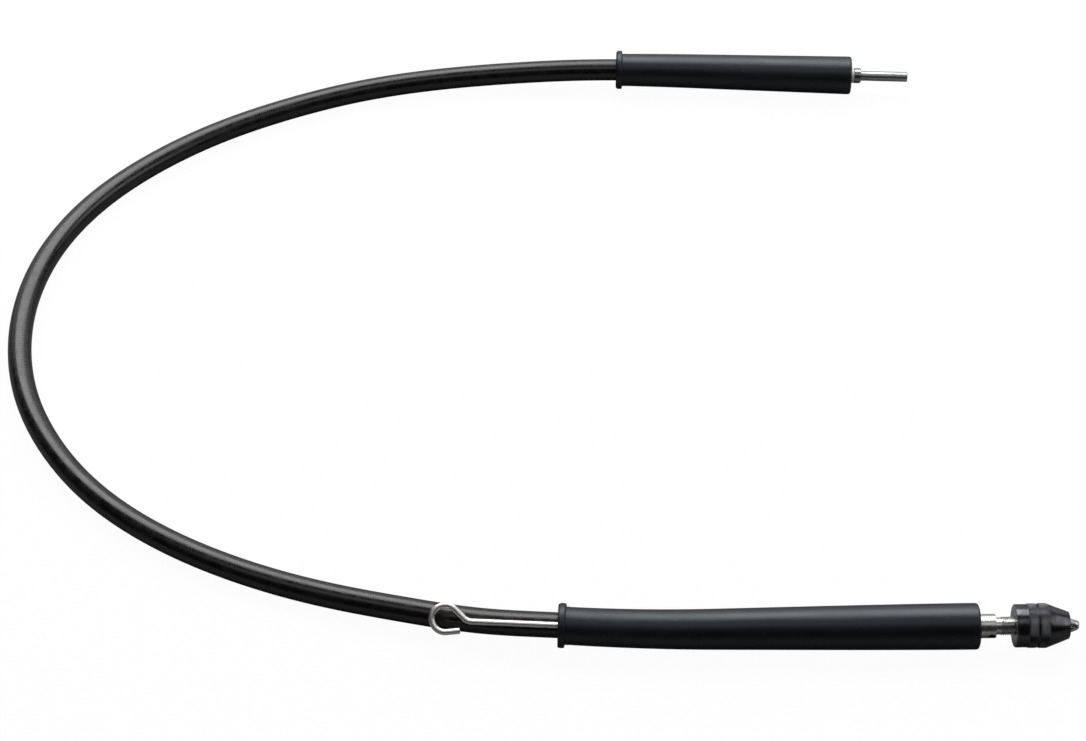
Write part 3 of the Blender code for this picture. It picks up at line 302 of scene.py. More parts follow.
def makeSleeve(name, end, size, node):
    # outside radius = mouth + (front - mouth) * (a t + (1 - a) t^2 (3 - 2t)), with t from the bead to the
    # front; the axis bows aside near the mouth by bow * (1 - station / bowReach)^2
    edge = sleeveEdges
    length, bead, width, crease = size["length"], size["bead"], size["beadWidth"], edge["crease"]
    start = width + edge["bandWidth"]
    s = np.linspace(start, length - edge["frontWidth"], 90)
    t = np.clip((s - width) / (length * size["taper"] - width), 0, 1)
    share = size["evenShare"] * t + (1 - size["evenShare"]) * t * t * (3 - 2 * t)
    r = size["mouth"] + (size["front"] - size["mouth"]) * share
    inside = np.linspace(size["grip"] - edge["inset"], edge["inset"], 50)
    band = size["mouth"] + size["band"]

    def bow(at):
        return size["bow"] * np.clip(1 - at / size["bowReach"], 0, 1) ** 2

    corners = [(0, bead, edge["beadBack"]), (width, bead, edge["beadFront"]), (width, band, crease),
               (start - edge["bandEdge"], band, crease), (start - edge["bandFoot"], r[0], crease)]
    corners += [(a, b, 0) for a, b in zip(s, r)]
    corners += [(length, size["front"], edge["front"]), (length, size["hole"], edge["hole"]),
                (length - size["lip"], size["hole"], 0), (length - size["lip"], size["tight"], 0),
                (size["grip"], size["tight"], 0)]
    corners += [(a, size["bore"], 0) for a in inside] + [(0, size["bore"], edge["mouth"])]
    piece = turnedPiece(name, end, corners, 112, True, bow, 6, 50)
    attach(piece, "casing")
    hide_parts(node)
    return piece


handpieceGrip = makeSleeve("handpieceGrip", handpiece, handpieceSleeve, "handpiece_sleeve")
driveGrip = makeSleeve("driveGrip", driveEnd, driveSleeve, "drive_sleeve")
print("sleeves made")


# ---- spindle ----

journal = {"radius": 0.0040, "socket": 0.00305, "socketDepth": 0.0100, "grooveDepth": 0.0004,
           "grooveWidth": 0.0011, "mouthEdge": 0.0002, "tailEdge": 0.0003}
spindle = {"tail": 0.0916, "groove": 0.1031, "collarBack": 0.2034, "collarFront": 0.2214, "collar": 0.0061,
           "collarEdge": 0.0003, "frontEdge": 0.0004, "neck": 0.00435, "neckEdge": 0.0002,
           "threadStart": 0.2244, "threadEnd": 0.2393, "thread": 0.0047625, "pitch": 0.0010583,
           "threadDepth": 0.00058, "crest": 0.10, "flank": 0.78, "runOut": 0.0007, "end": 0.0009,
           "threadRings": 116, "sides": 72, "holeStation": 0.2190, "hole": 0.0019, "holeDip": 12.0,
           "cutterReach": 0.012}


def tailCorners(tail, groove):
    # the outline of a shaft's tail: the core's socket, the journal and the circlip's groove
    v = journal
    r, low, far = v["radius"], v["radius"] - v["grooveDepth"], groove + v["grooveWidth"]
    return [(tail + v["socketDepth"], v["socket"], 0), (tail, v["socket"], v["mouthEdge"]),
            (tail, r, v["tailEdge"]), (groove, r, 0), (groove, low, 0), (far, low, 0), (far, r, 0)]


def cutWith(piece, cutters):
    # each cutter is taken out of the piece, and the cutters are thrown away
    for cutter in cutters:
        cut = piece.modifiers.new("cut", "BOOLEAN")
        cut.operation, cut.solver, cut.object = "DIFFERENCE", "EXACT", cutter
    mesh = bpy.data.meshes.new_from_object(piece.evaluated_get(bpy.context.evaluated_depsgraph_get()))
    piece.modifiers.clear()
    piece.data = mesh
    mesh.set_sharp_from_angle(angle=radians(35))
    for cutter in cutters:
        bpy.data.objects.remove(cutter)


def rod(name, start, stop, radius, sides=40):
    # a plain rod from start to stop: point = start + t (stop - start) + radius (a cos(angle) + b sin(angle))
    start, stop = np.array(start), np.array(stop)
    along = (stop - start) / np.linalg.norm(stop - start)
    a = np.cross(along, [0.3, 0.2, 0.9])
    a /= np.linalg.norm(a)
    b = np.cross(along, a)
    angle = np.linspace(0, 2 * pi, sides, endpoint=False)[:, None]
    circle = radius * (a * np.cos(angle) + b * np.sin(angle))
    return loft(name, np.stack([start + circle, stop + circle]), [0, 0.01])


def makeSpindle():
    v = spindle
    hole = np.linspace(v["holeStation"] - 0.0030, v["holeStation"] + 0.0018, 9)  # rings beside the cross hole
    corners = tailCorners(v["tail"], v["groove"])
    corners += [(v["collarBack"], journal["radius"], 0), (v["collarBack"], v["collar"], v["collarEdge"])]
    corners += [(a, v["collar"], 0) for a in hole]
    corners += [(v["collarFront"], v["collar"], v["frontEdge"]),
                (v["collarFront"], v["neck"], v["collarEdge"]),
                (v["threadStart"] - v["neckEdge"], v["neck"], 0)]
    plain = roundedOutline(corners)
    # thread: radius = R - depth * h, h a flattened saw of station / pitch - angle / turn, fading in and out
    s = np.linspace(v["threadStart"], v["threadEnd"] - v["neckEdge"], v["threadRings"])[:, None]
    angle = np.linspace(0, 2 * pi, v["sides"], endpoint=False)
    saw = np.abs(2 * ((s / v["pitch"] - angle / (2 * pi)) % 1) - 1)
    depth = v["threadDepth"] * np.clip((s - v["threadStart"]) / v["runOut"] + 0.25, 0, 1)
    threaded = v["thread"] - depth * np.clip((saw - v["crest"]) / v["flank"], 0, 1)
    threaded = np.minimum(threaded, v["thread"] - v["runOut"] + np.clip(v["threadEnd"] - s, 0, v["runOut"]))
    last = np.array([[v["threadEnd"], v["thread"] - v["end"]]])
    outline = np.vstack([plain, np.hstack([s, s * 0]), last])
    radii = [np.repeat(plain[:, 1:], len(angle), 1), threaded, np.repeat(last[:, 1:], len(angle), 1)]
    radii = np.minimum(np.vstack(radii), v["collar"])
    piece = loft("spindleShaft", turnedRings(handpiece, outline, v["sides"], None, radii), outline[:, 0])
    middle = np.array(handpiece["mouth"]) + [v["holeStation"], 0, 0]
    dip = radians(v["holeDip"])
    across = np.array([0, -cos(dip), -sin(dip)]) * v["cutterReach"]
    cutWith(piece, [rod("holeCutter", middle - across, middle + across, v["hole"])])
    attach(piece, "spindle")
    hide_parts("spindle")
    return piece


spindleShaft = makeSpindle()
print("spindle made")


# ---- drill chuck; its stations start at its back face ----

chuck = {"back": 0.2308, "ring": 0.01095, "ringWidth": 0.0064, "grip": 0.0113, "gripWidth": 0.0047,
         "groove": 0.0108, "grooveWidth": 0.0007, "threadBore": 0.00491, "threadDepth": 0.0091,
         "bore": 0.00225, "core": 0.00674, "coneBack": 0.0185, "coneInside": 0.0015, "shell": 0.0012,
         "sleeveGrip": 0.0114, "sleeveGripWidth": 0.0052, "cone": 0.0108, "nose": 0.00685, "nutBore": 0.0098,
         "knurls": 44, "knurlDepth": 0.00040, "perKnurl": 8, "knurlFlank": 0.8, "chamfer": 0.0004,
         "gap": 0.0003, "edge": 0.0003, "thinEdge": 0.0002, "threadEdge": 0.0004, "backEdge": 0.0009,
         "shoulder": 0.0012}
jaws = {"radius": 0.0025, "slope": 19.5, "tip": 0.0329, "meet": 0.0317, "back": 0.0150, "turn": 56.0,
        "gap": 0.0003, "boreRadius": 0.0027, "boreLength": 0.0242, "borePast": 0.005, "point": 0.00195,
        "pointSlope": 0.52, "least": 0.0009, "steps": 40, "sides": 72}
jawTip = {"back": (0.0004, 0.0001, 0.0), "in": (0.0, 0.00008, 0.00022)}  # the last rings round the tip off


def knurl(s, angle, start, stop, top):
    # radius = top - depth * (1 - h), h = the lower of two crossed saws of turn * count +- station / pitch,
    # cut flat at the tips, and running out in a chamfer at both edges
    v = chuck
    pitch = 2 * pi * top / v["knurls"]
    turn = angle / (2 * pi) * v["knurls"]
    a, b = (turn + (s - start) / pitch) % 1, (turn - (s - start) / pitch) % 1
    height = np.clip(np.minimum(1 - np.abs(2 * a - 1), 1 - np.abs(2 * b - 1)) / v["knurlFlank"], 0, 1)
    edge = np.minimum(s - start, stop - s)
    return np.minimum(top - v["knurlDepth"] * (1 - height), top - v["chamfer"] + edge), height


def chuckPiece(name, before, start, stop, top, after):
    # a closed turned piece: an outline, a knurled band from start to stop, and an outline again
    v = chuck
    sides = v["knurls"] * v["perKnurl"]
    angle = np.linspace(0, 2 * pi, sides, endpoint=False)[None]
    pitch = 2 * pi * top / v["knurls"]
    step = pitch / v["perKnurl"]
    s = np.append(start + np.arange(0, (stop - start) / step) * step, stop)[:, None]
    band, height = knurl(s, angle, start, stop, top)
    before, after = roundedOutline(before), roundedOutline(after)
    outline = np.vstack([before, np.hstack([s, s * 0]), after])
    wide = np.vstack([np.repeat(before[:, 1:], sides, 1), band, np.repeat(after[:, 1:], sides, 1)])
    # knurl attribute: 0 in the grooves, painted as shade; 1 on the tips, painted as highlight over wear, and
    # on the back face, painted as a reflection; 0.5 on plain bands
    # painted reflection: the back face is marked 1 so that it takes the light colour
    backFaceReflection = np.repeat(np.where(before[:, :1] < v["edge"], 1.0, 0.5), sides, 1)
    wearAndHighlight = np.vstack([backFaceReflection, height, np.full((len(after), sides), 0.5)])
    outline[:, 0] += v["back"]
    profile = np.column_stack([outline[:, 0], wide.mean(1)])
    length = np.cumsum(np.append(0, np.hypot(*np.diff(profile, axis=0).T)))
    rings = turnedRings(handpiece, outline, sides, None, wide)
    return loft(name, rings, length, True, {"knurl": wearAndHighlight}, 30)


def jawLine(turn, along):
    # a jaw's own axis: out = along * sin(slope) from the chuck's axis, at meet - along * cos(slope)
    slope = radians(jaws["slope"])
    station = chuck["back"] + jaws["meet"] - along * cos(slope)
    out = along * sin(slope)
    return np.array(handpiece["mouth"]) + [station, out * sin(turn), -out * cos(turn)]


def makeChuck():
    v = chuck
    grip = v["ringWidth"] + v["gripWidth"]
    sleeveBack = grip + v["grooveWidth"]
    coneStart = sleeveBack + v["sleeveGripWidth"]
    noseEnd = coneStart + v["cone"]

    def coneAt(s):
        return v["ring"] - (s - coneStart) * (v["ring"] - v["nose"]) / v["cone"]

    edge, thin, grooveEnd = v["edge"], v["thinEdge"], sleeveBack - v["gap"]
    before = [(v["threadDepth"], v["threadBore"], 0), (0, v["threadBore"], v["threadEdge"]),
              (0, v["ring"], v["backEdge"]), (v["ringWidth"], v["ring"], 0)]
    after = [(grip, v["groove"], 0), (grooveEnd, v["groove"], 0), (grooveEnd, v["core"], 0),
             (v["coneBack"], v["core"], 0), (v["coneBack"], coneAt(v["coneBack"]) - v["coneInside"], 0),
             (noseEnd, coneAt(noseEnd) - v["coneInside"], edge), (noseEnd, v["bore"], edge),
             (v["threadDepth"], v["bore"], 0)]
    body = chuckPiece("chuckBody", before, v["ringWidth"], grip, v["grip"], after)
    turns = [radians(jaws["turn"]) + 2 * pi * k / 3 for k in range(3)]
    cutWith(body, [rod(f"jawBore{k}", jawLine(t, jaws["boreLength"]), jawLine(t, -jaws["borePast"]),
                       jaws["boreRadius"]) for k, t in enumerate(turns)])
    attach(body, "spindle")
    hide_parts("chuck_body")

    shoulder = coneStart + v["shoulder"]
    before = [(shoulder, v["nutBore"], 0), (sleeveBack + edge, v["nutBore"], 0),
              (sleeveBack, v["nutBore"] + edge, 0)]
    after = [(coneStart, v["ring"], thin), (noseEnd, v["nose"], edge),
             (noseEnd, v["nose"] - v["shell"], thin), (shoulder, coneAt(shoulder) - v["shell"], 0)]
    sleeve = chuckPiece("chuckSleeve", before, sleeveBack, coneStart - edge, v["sleeveGrip"], after)
    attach(sleeve, "chuck_sleeve")
    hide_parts("chuck_sleeve")
    pieces = [body, sleeve] + [makeJaw(k, t) for k, t in enumerate(turns, 1)]
    return pieces


def makeJaw(number, turn):
    # at each station the jaw is a leaning rod's ellipse, cut by two planes that meet at 120 degrees on the
    # chuck's axis and by a cone round that axis: from a middle point, reach(angle) = the nearest of the three
    slope = radians(jaws["slope"])
    back, inward = np.array(jawTip["back"]), jawTip["in"]
    s = np.append(np.linspace(jaws["back"], jaws["tip"] - back[0], jaws["steps"]), jaws["tip"] - back[1:])
    shrink = np.append(np.zeros(jaws["steps"]), inward[1:])[:, None]
    out = ((jaws["meet"] - s) * tan(slope))[:, None]
    point = jaws["point"] + (jaws["tip"] - s[:, None]) * jaws["pointSlope"]
    wide, high = jaws["radius"], jaws["radius"] / cos(slope)
    apex = jaws["gap"] / 2 / sin(pi / 3)
    middle = np.maximum(out, apex + jaws["least"])
    angle = np.linspace(0, 2 * pi, jaws["sides"], endpoint=False)[None]
    dx, dy = np.cos(angle), np.sin(angle)
    x0 = middle - out
    a = dx ** 2 / high ** 2 + dy ** 2 / wide ** 2
    b = x0 * dx / high ** 2
    c = x0 ** 2 / high ** 2 - 1
    ellipse = (-b + np.sqrt(np.maximum(b * b - a * c, 0))) / a
    lean = np.abs(dy) * cos(pi / 3) - dx * sin(pi / 3)
    plane = np.where(lean > 1e-6, (middle - apex) * sin(pi / 3) / np.maximum(lean, 1e-6), 1.0)
    cone = -middle * dx + np.sqrt(np.maximum(point ** 2 - (middle * dy) ** 2, 0))
    reach = np.minimum(np.minimum(ellipse, plane), cone) - shrink
    x, y = middle + reach * dx, reach * dy
    station = np.broadcast_to((chuck["back"] + s)[:, None], x.shape)
    away = x * cos(turn) - y * sin(turn), x * sin(turn) + y * cos(turn)
    rings = np.array(handpiece["mouth"]) + np.stack([station, away[1], -away[0]], -1)
    piece = loft(f"chuckJaw{number}", rings, s, False, None, 30)
    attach(piece, f"jaw_{number}")
    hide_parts(f"chuck_jaw_{number}")
    return piece


chuckPieces = makeChuck()
print("chuck made")


# ---- drive shank, its washer and stop collar ----

driveShank = {"tail": 0.0706, "groove": 0.0821, "step": 0.1440, "stepEdge": 0.0002, "shank": 0.0030,
              "tip": 0.1797, "chamfer": 0.0005, "centre": 0.0004, "sides": 80}
stopRings = {"washer": (0.14515, 0.14695, 0.0045), "collar": (0.1471, 0.1512, 0.00465), "collarStep": 0.0008,
             "ledge": 0.0004, "bore": 0.00315, "edge": 0.0003, "thinEdge": 0.0002}


def makeDriveShank():
    v = driveShank
    corners = tailCorners(v["tail"], v["groove"])
    corners += [(v["step"], journal["radius"], v["stepEdge"]), (v["step"], v["shank"], 0),
                (v["tip"], v["shank"], v["chamfer"]), (v["tip"], v["centre"], 0)]
    shank = turnedPiece("driveShank", driveEnd, corners, v["sides"], False)
    bore, edge, thin = stopRings["bore"], stopRings["edge"], stopRings["thinEdge"]
    back, front, radius = stopRings["washer"]
    corners = [(back, bore, 0), (back, radius, thin), (front, radius, thin), (front, bore, 0)]
    washer = turnedPiece("thrustWasher", driveEnd, corners, v["sides"])
    back, front, radius = stopRings["collar"]
    ledge, small = front - stopRings["collarStep"], radius - stopRings["ledge"]
    corners = [(back, bore, 0), (back, radius, edge), (ledge, radius, thin), (ledge, small, 0),
               (front, small, edge), (front, bore, 0)]
    collar = turnedPiece("stopCollar", driveEnd, corners, v["sides"])
    for piece, node, slot in ((shank, "drive_pin", "ground_steel"),
                              (washer, "drive_thrust_washer", "white_nylon"),
                              (collar, "drive_stop_collar", "ground_steel")):
        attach(piece, "drive_shaft")
        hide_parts(node)
    return shank, washer, collar


driveShaft, thrustWasher, stopCollar = makeDriveShank()
print("drive shank made")


# ---- lock pin ----

lockPin = {"wire": 0.0032, "inside": 0.0300, "shown": 0.0437, "neckRadius": 0.0058, "neckTurn": 42.0,
           "eyeRadius": 0.0068, "eyeRise": 0.00097, "tailTurn": 8.0, "tail": 0.0069, "rounding": 0.0004,
           "rings": 260, "sides": 40,
           "place": (-0.0989, -0.225011, 0.017057), "tilt": 40.0, "yaw": -4.0}


def makeLockPin():
    # the wire's line: straight, the neck's arc, the eye's arc, straight; an arc is centre + r (cos, sin)
    v = lockPin
    neck = radians(v["neckTurn"])
    neckEnd = v["shown"] + v["neckRadius"] * tan(neck / 2)
    touch = (v["eyeRise"] + v["eyeRadius"] * cos(neck)) / tan(neck)
    eye = np.array([-neckEnd - touch - v["eyeRadius"] * sin(neck), v["eyeRise"]])

    def arc(centre, radius, start, stop, count):
        a = np.radians(np.linspace(start, stop, count))[:, None]
        return np.array(centre) + radius * np.hstack([np.cos(a), np.sin(a)])

    bend = arc((-v["shown"], v["neckRadius"]), v["neckRadius"], 270, 270 - v["neckTurn"], 16)
    loop = arc(eye, v["eyeRadius"], 90 - v["neckTurn"], 270 + v["tailTurn"], 80)
    tail = radians(v["tailTurn"])
    straight = np.column_stack([np.linspace(v["inside"], -v["shown"] + 0.001, 40), np.zeros(40)])
    last = loop[-1] + np.linspace(0.1, 1, 8)[:, None] * v["tail"] * np.array([cos(tail), sin(tail)])
    flat = np.vstack([straight, bend, loop, last])
    line = np.column_stack([flat, np.zeros(len(flat))])
    far = np.cumsum(np.append(0, np.linalg.norm(np.diff(line, axis=0), axis=1)))
    at = np.linspace(0, far[-1], v["rings"])
    edge = v["rounding"]
    at = np.concatenate([[0, edge * 0.3], at[(at > edge) & (at < far[-1] - edge)], far[-1] - [edge * 0.3, 0]])
    at = np.insert(at, [2, len(at) - 2], [edge, far[-1] - edge])
    smooth = np.stack([np.interp(at, far, line[:, k]) for k in range(3)], -1)
    ahead = np.gradient(smooth, axis=0)
    ahead /= np.linalg.norm(ahead, axis=1, keepdims=True)
    side = np.stack([-ahead[:, 1], ahead[:, 0], ahead[:, 2]], -1)
    left = np.clip(np.minimum(at, far[-1] - at) / edge, 0, 1)
    size = v["wire"] / 2 - edge * (1 - np.sqrt(1 - (1 - left) ** 2))
    angle = np.linspace(0, 2 * pi, v["sides"], endpoint=False)
    spoke = side[:, None] * np.cos(angle)[:, None] + np.array([0, 0, 1]) * np.sin(angle)[:, None]
    rings = smooth[:, None] + size[:, None, None] * spoke
    tilt, yaw = radians(v["tilt"]), radians(v["yaw"])
    tilted = np.array([[1, 0, 0], [0, cos(tilt), -sin(tilt)], [0, sin(tilt), cos(tilt)]])
    turned = np.array([[cos(yaw), -sin(yaw), 0], [sin(yaw), cos(yaw), 0], [0, 0, 1]])
    rings = rings @ (turned @ tilted).T + np.array(v["place"])
    piece = loft("lockPin", rings, at, False, None, 50)
    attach(piece, "lock_pin")
    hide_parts("lock_pin")
    return piece


lockPinPiece = makeLockPin()
print("lock pin made")


# ---- materials ----

class Link:
    # an output socket whose arithmetic adds Math nodes to its paint
    def __init__(self, paint, socket):
        self.paint, self.socket = paint, socket

    def math(self, operation, a, b):
        return self.paint.add("ShaderNodeMath", {"operation": operation}, {0: a, 1: b})

    def __add__(self, other):
        return self.math("ADD", self, other)

    def __mul__(self, other):
        return self.math("MULTIPLY", self, other)

    def __rsub__(self, other):
        return self.math("SUBTRACT", other, self)

    __radd__, __rmul__ = __add__, __mul__


class Paint:
    # one material: add() makes a node from its type, its settings and its sockets' values or links
    def __init__(self, name):
        self.material = bpy.data.materials.new(name)
        self.material.use_nodes = True
        self.nodes, self.links = self.material.node_tree.nodes, self.material.node_tree.links
        self.shader = self.nodes["Principled BSDF"]

    def fill(self, node, sockets):
        for key, value in sockets.items():
            if isinstance(value, Link):
                self.links.new(value.socket, node.inputs[key])
            else:
                node.inputs[key].default_value = value

    def add(self, kind, settings=None, sockets=None, output=0):
        node = self.nodes.new(kind)
        for key, value in (settings or {}).items():
            if key == "stops":
                ramp = node.color_ramp
                while len(ramp.elements) < len(value):
                    ramp.elements.new(0.5)
                for element, (place, colour) in zip(ramp.elements, value):
                    element.position, element.color = place, (*colour, 1)
            else:
                setattr(node, key, value)
        self.fill(node, sockets or {})
        return Link(self, node.outputs[output])

    def finish(self, **sockets):
        self.fill(self.shader, {key.replace("_", " "): value for key, value in sockets.items()})
        return self.material

    def where(self, scale=(1, 1, 1), turn=(0, 0, 0)):
        place = self.add("ShaderNodeTexCoord", None, None, "Object")
        turned = {"Vector": place, "Scale": scale, "Rotation": turn}
        return self.add("ShaderNodeMapping", None, turned, "Vector")

    def noise(self, vector, scale, detail=3, roughness=0.55):
        return self.add("ShaderNodeTexNoise", None, {"Vector": vector, "Scale": scale, "Detail": detail,
                                                     "Roughness": roughness}, "Fac")

    def ramp(self, factor, stops):
        grey = [(place, (v, v, v)) for place, v in stops]
        return self.add("ShaderNodeValToRGB", {"stops": grey}, {"Fac": factor}, "Color")

    def mix(self, factor, a, b):
        return self.add("ShaderNodeMix", {"data_type": "RGBA"}, {0: factor, 6: a, 7: b}, 2)

    def bump(self, height, distance, strength=1.0):
        values = {"Height": height, "Distance": distance, "Strength": strength}
        return self.add("ShaderNodeBump", None, values, "Normal")


def wear(piece, material):
    piece.data.materials.clear()
    piece.data.materials.append(material)


rubber = {"colour": (0.0010, 0.0014, 0.0026, 1), "bloom": (0.0028, 0.0036, 0.0060, 1),
          "dust": (0.10, 0.11, 0.12, 1), "roughness": (0.36, 0.47), "sheen": (0.84, 0.90, 1.0, 1)}


def rubberPaint(name, turn=0.0):
    # a fine grain, a cloudy bloom that dulls it, and a few specks of dust
    paint = Paint(name)
    place = paint.where((1, 1, 1), (0, 0, radians(turn)))
    stretched = paint.where((0.35, 1, 1), (0, 0, radians(turn)))
    cloud = paint.ramp(paint.noise(stretched, 55, 4, 0.6), [(0.38, 0), (0.68, 1)])
    grain = paint.noise(place, 2600, 2, 0.5)
    ripple = paint.noise(stretched, 260, 3, 0.5)
    specks = paint.ramp(paint.noise(place, 620, 1, 0.4), [(0.745, 0), (0.775, 1)])
    sparse = paint.ramp(paint.noise(place, 70, 2, 0.5), [(0.50, 0), (0.62, 1)])
    dusty = specks * sparse
    colour = paint.mix(cloud * 0.8, rubber["colour"], rubber["bloom"])
    colour = paint.mix(dusty * 0.75, colour, rubber["dust"])
    low, high = rubber["roughness"]
    height = grain * 0.35 + ripple * 0.65 + dusty * 0.3
    return paint.finish(Base_Color=colour, Roughness=low + (high - low) * cloud + grain * 0.06,
                        Normal=paint.bump(height, 0.00012, 0.5), Specular_IOR_Level=0.58,
                        Specular_Tint=rubber["sheen"])


hosePlastic = {"colour": (0.0035, 0.0035, 0.0038, 1), "scuff": (0.050, 0.050, 0.053, 1),
               "roughness": (0.22, 0.34)}


def hosePaint():
    # the ribs carry a slight bloom on their crests; scuffs run along the hose and across it
    paint = Paint("hosePlastic")
    along = paint.add("ShaderNodeUVMap", {"uv_map": "along"}, None, "UV")
    wide = paint.add("ShaderNodeMapping", None, {"Vector": along, "Scale": (1, 4.15, 1)}, "Vector")
    streaks = paint.add("ShaderNodeMapping", None, {"Vector": along, "Scale": (0.9, 26, 1)}, "Vector")
    across = paint.add("ShaderNodeMapping", None, {"Vector": along, "Scale": (9, 3.2, 1)}, "Vector")
    rib = paint.add("ShaderNodeAttribute", {"attribute_name": "rib"}, None, "Fac")
    cloud = paint.ramp(paint.noise(wide, 1.3, 4, 0.6), [(0.40, 0), (0.66, 1)])
    rubbed = paint.ramp(paint.noise(streaks, 1.6, 3, 0.55), [(0.62, 0), (0.74, 1)])
    nicks = paint.ramp(paint.noise(across, 2.2, 2, 0.5), [(0.70, 0), (0.76, 1)])
    fine = paint.noise(wide, 42, 2, 0.5)
    marks = rubbed * 0.55 + nicks * 0.45
    colour = paint.mix(marks * 0.45 + rib * cloud * 0.22, hosePlastic["colour"], hosePlastic["scuff"])
    low, high = hosePlastic["roughness"]
    return paint.finish(Base_Color=colour, Roughness=low + (high - low) * cloud + marks * 0.12,
                        Normal=paint.bump(fine * 0.4 + marks * 0.3, 0.00008, 0.5))


# each steel: its light colour, its stained colour and its roughness
steels = {"ground": ((0.64, 0.64, 0.63, 1), (0.42, 0.42, 0.41, 1), 0.20),
          "shank": ((0.42, 0.43, 0.43, 1), (0.26, 0.27, 0.27, 1), 0.24),
          "collar": ((0.34, 0.34, 0.34, 1), (0.18, 0.18, 0.18, 1), 0.16),
          "jaw": ((0.55, 0.54, 0.53, 1), (0.38, 0.37, 0.36, 1), 0.18),
          "wire": ((0.94, 0.90, 0.88, 1), (0.78, 0.74, 0.72, 1), 0.30),
          "plain": ((0.40, 0.40, 0.41, 1), (0.26, 0.26, 0.27, 1), 0.38),
          "bearing": ((0.60, 0.60, 0.61, 1), (0.48, 0.48, 0.49, 1), 0.18)}


def steelPaint(name, finish, across=42.0, lines=0.6):
    # turning or drawing lines, which run round a turned piece and along a wire, over cloudy stains
    light, dark, roughness = steels[finish]
    paint = Paint(name)
    along = paint.add("ShaderNodeUVMap", {"uv_map": "along"}, None, "UV")
    stretch = {"Vector": along, "Scale": (across, across * 0.03, 1)}
    groove = paint.noise(paint.add("ShaderNodeMapping", None, stretch, "Vector"), 6.0, 3, 0.6)
    stain = paint.ramp(paint.noise(paint.where(), 420, 4, 0.6), [(0.35, 0), (0.70, 1)])
    colour = paint.mix(stain * 0.6 + groove * 0.3, light, dark)
    return paint.finish(Base_Color=colour, Metallic=1.0, Roughness=roughness + stain * 0.10 + groove * 0.08,
                        Normal=paint.bump(groove, 0.00003, lines))


def plainSteelPaint(name, finish, turn=0.0):
    # for the frame's own nodes, which have no map of their own: the lines follow the part's length
    light, dark, roughness = steels[finish]
    paint = Paint(name)
    ringed = paint.where((1, 0.02, 0.02), (0, 0, radians(turn)))
    groove = paint.noise(ringed, 9000, 3, 0.6)
    stain = paint.noise(paint.where(), 300, 4, 0.6)
    colour = paint.mix(stain * 0.7, light, dark)
    return paint.finish(Base_Color=colour, Metallic=1.0, Roughness=roughness + groove * 0.12,
                        Normal=paint.bump(groove, 0.00004, 0.5))


# the near-black colour is painted shade for the knurl's grooves; the light colour is worn metal, and also
# painted highlight on the knurl's tips and painted reflection on the back face
blackSteel = {"colour": (0.055, 0.056, 0.060, 1), "wearAndHighlight": (0.38, 0.39, 0.42, 1),
              "grooveShade": (0.002, 0.002, 0.002, 1), "roughness": 0.16}


def blackSteelPaint(name):
    # blackened steel: turning lines, a mottled skin, worn patches, painted shade in the knurl's grooves, a
    # painted highlight on its tips, where the metal is also worn, and a painted reflection on the back face
    paint = Paint(name)
    along = paint.add("ShaderNodeUVMap", {"uv_map": "along"}, None, "UV")
    ringed = paint.add("ShaderNodeMapping", None, {"Vector": along, "Scale": (60, 1.5, 1)}, "Vector")
    groove = paint.noise(ringed, 5.0, 3, 0.6)
    mottle = paint.noise(paint.where(), 900, 3, 0.6)
    patch = paint.ramp(paint.noise(paint.where(), 260, 3, 0.6), [(0.42, 0), (0.72, 1)])
    tip = paint.add("ShaderNodeAttribute", {"attribute_name": "knurl"}, None, "Fac")
    # painted highlight and reflection: the knurl's tips and the back face take the light colour, along with
    # random worn patches
    wearAndHighlight = patch * 0.16 + paint.ramp(tip, [(0.66, 0), (0.86, 1)]) * (patch * 0.3 + 0.7)
    # painted shade: where the knurl attribute is low, in the grooves, the colour goes to near black
    colour = paint.mix(paint.ramp(tip, [(0.30, 0), (0.49, 1)]), blackSteel["grooveShade"], blackSteel["colour"])
    colour = paint.mix(wearAndHighlight, colour, blackSteel["wearAndHighlight"])
    return paint.finish(Base_Color=colour, Metallic=0.95, Roughness=blackSteel["roughness"] + mottle * 0.14,
                        Normal=paint.bump(groove * 0.7 + mottle * 0.3, 0.00003, 0.6))


def bronzePaint():
    # sintered bronze: fine dark pores in a warm metal
    paint = Paint("sinteredBronze")
    pores = paint.ramp(paint.noise(paint.where(), 5200, 2, 0.5), [(0.36, 0), (0.46, 1)])
    colour = paint.mix(pores, (0.20, 0.12, 0.05, 1), (0.60, 0.40, 0.18, 1))
    return paint.finish(Base_Color=colour, Metallic=1.0, Roughness=0.34 + 0.2 * (1 - pores),
                        Normal=paint.bump(pores, 0.00004, 0.6))


def nylonPaint():
    # white nylon: a faint cloudiness and fine turning lines
    paint = Paint("whiteNylon")
    cloud = paint.noise(paint.where(), 700, 3, 0.5)
    lines = paint.noise(paint.where((1, 0.05, 0.05)), 6000, 2, 0.5)
    colour = paint.mix(cloud, (0.86, 0.86, 0.84, 1), (0.70, 0.70, 0.67, 1))
    bumps = paint.bump(lines, 0.00003, 0.5)
    return paint.finish(Base_Color=colour, Roughness=0.36 + cloud * 0.12, Normal=bumps)


def paintHoleShade(piece):
    # the cross hole's wall is painted near black as shade: faces within the hole's radius and under the
    # collar's skin
    paint = Paint("holeShade")
    cloud = paint.noise(paint.where(), 900, 2, 0.5)
    # painted shade: near-black colours for the inside of the cross hole
    colour = paint.mix(cloud, (0.004, 0.004, 0.004, 1), (0.012, 0.011, 0.010, 1))
    piece.data.materials.append(paint.finish(Base_Color=colour, Metallic=0.0, Roughness=0.5 + cloud * 0.1))
    faces = piece.data.polygons
    centre = np.empty(len(faces) * 3)
    faces.foreach_get("center", centre)
    x, y, z = (centre.reshape(-1, 3) - handpiece["mouth"] - [spindle["holeStation"], 0, 0]).T
    dip, skin = radians(spindle["holeDip"]), 0.0001
    inHole = np.hypot(x, z * cos(dip) - y * sin(dip)) < spindle["hole"] * 1.05
    inHole &= np.hypot(y, z) < spindle["collar"] - skin
    faces.foreach_set("material_index", inHole.astype(np.int32))


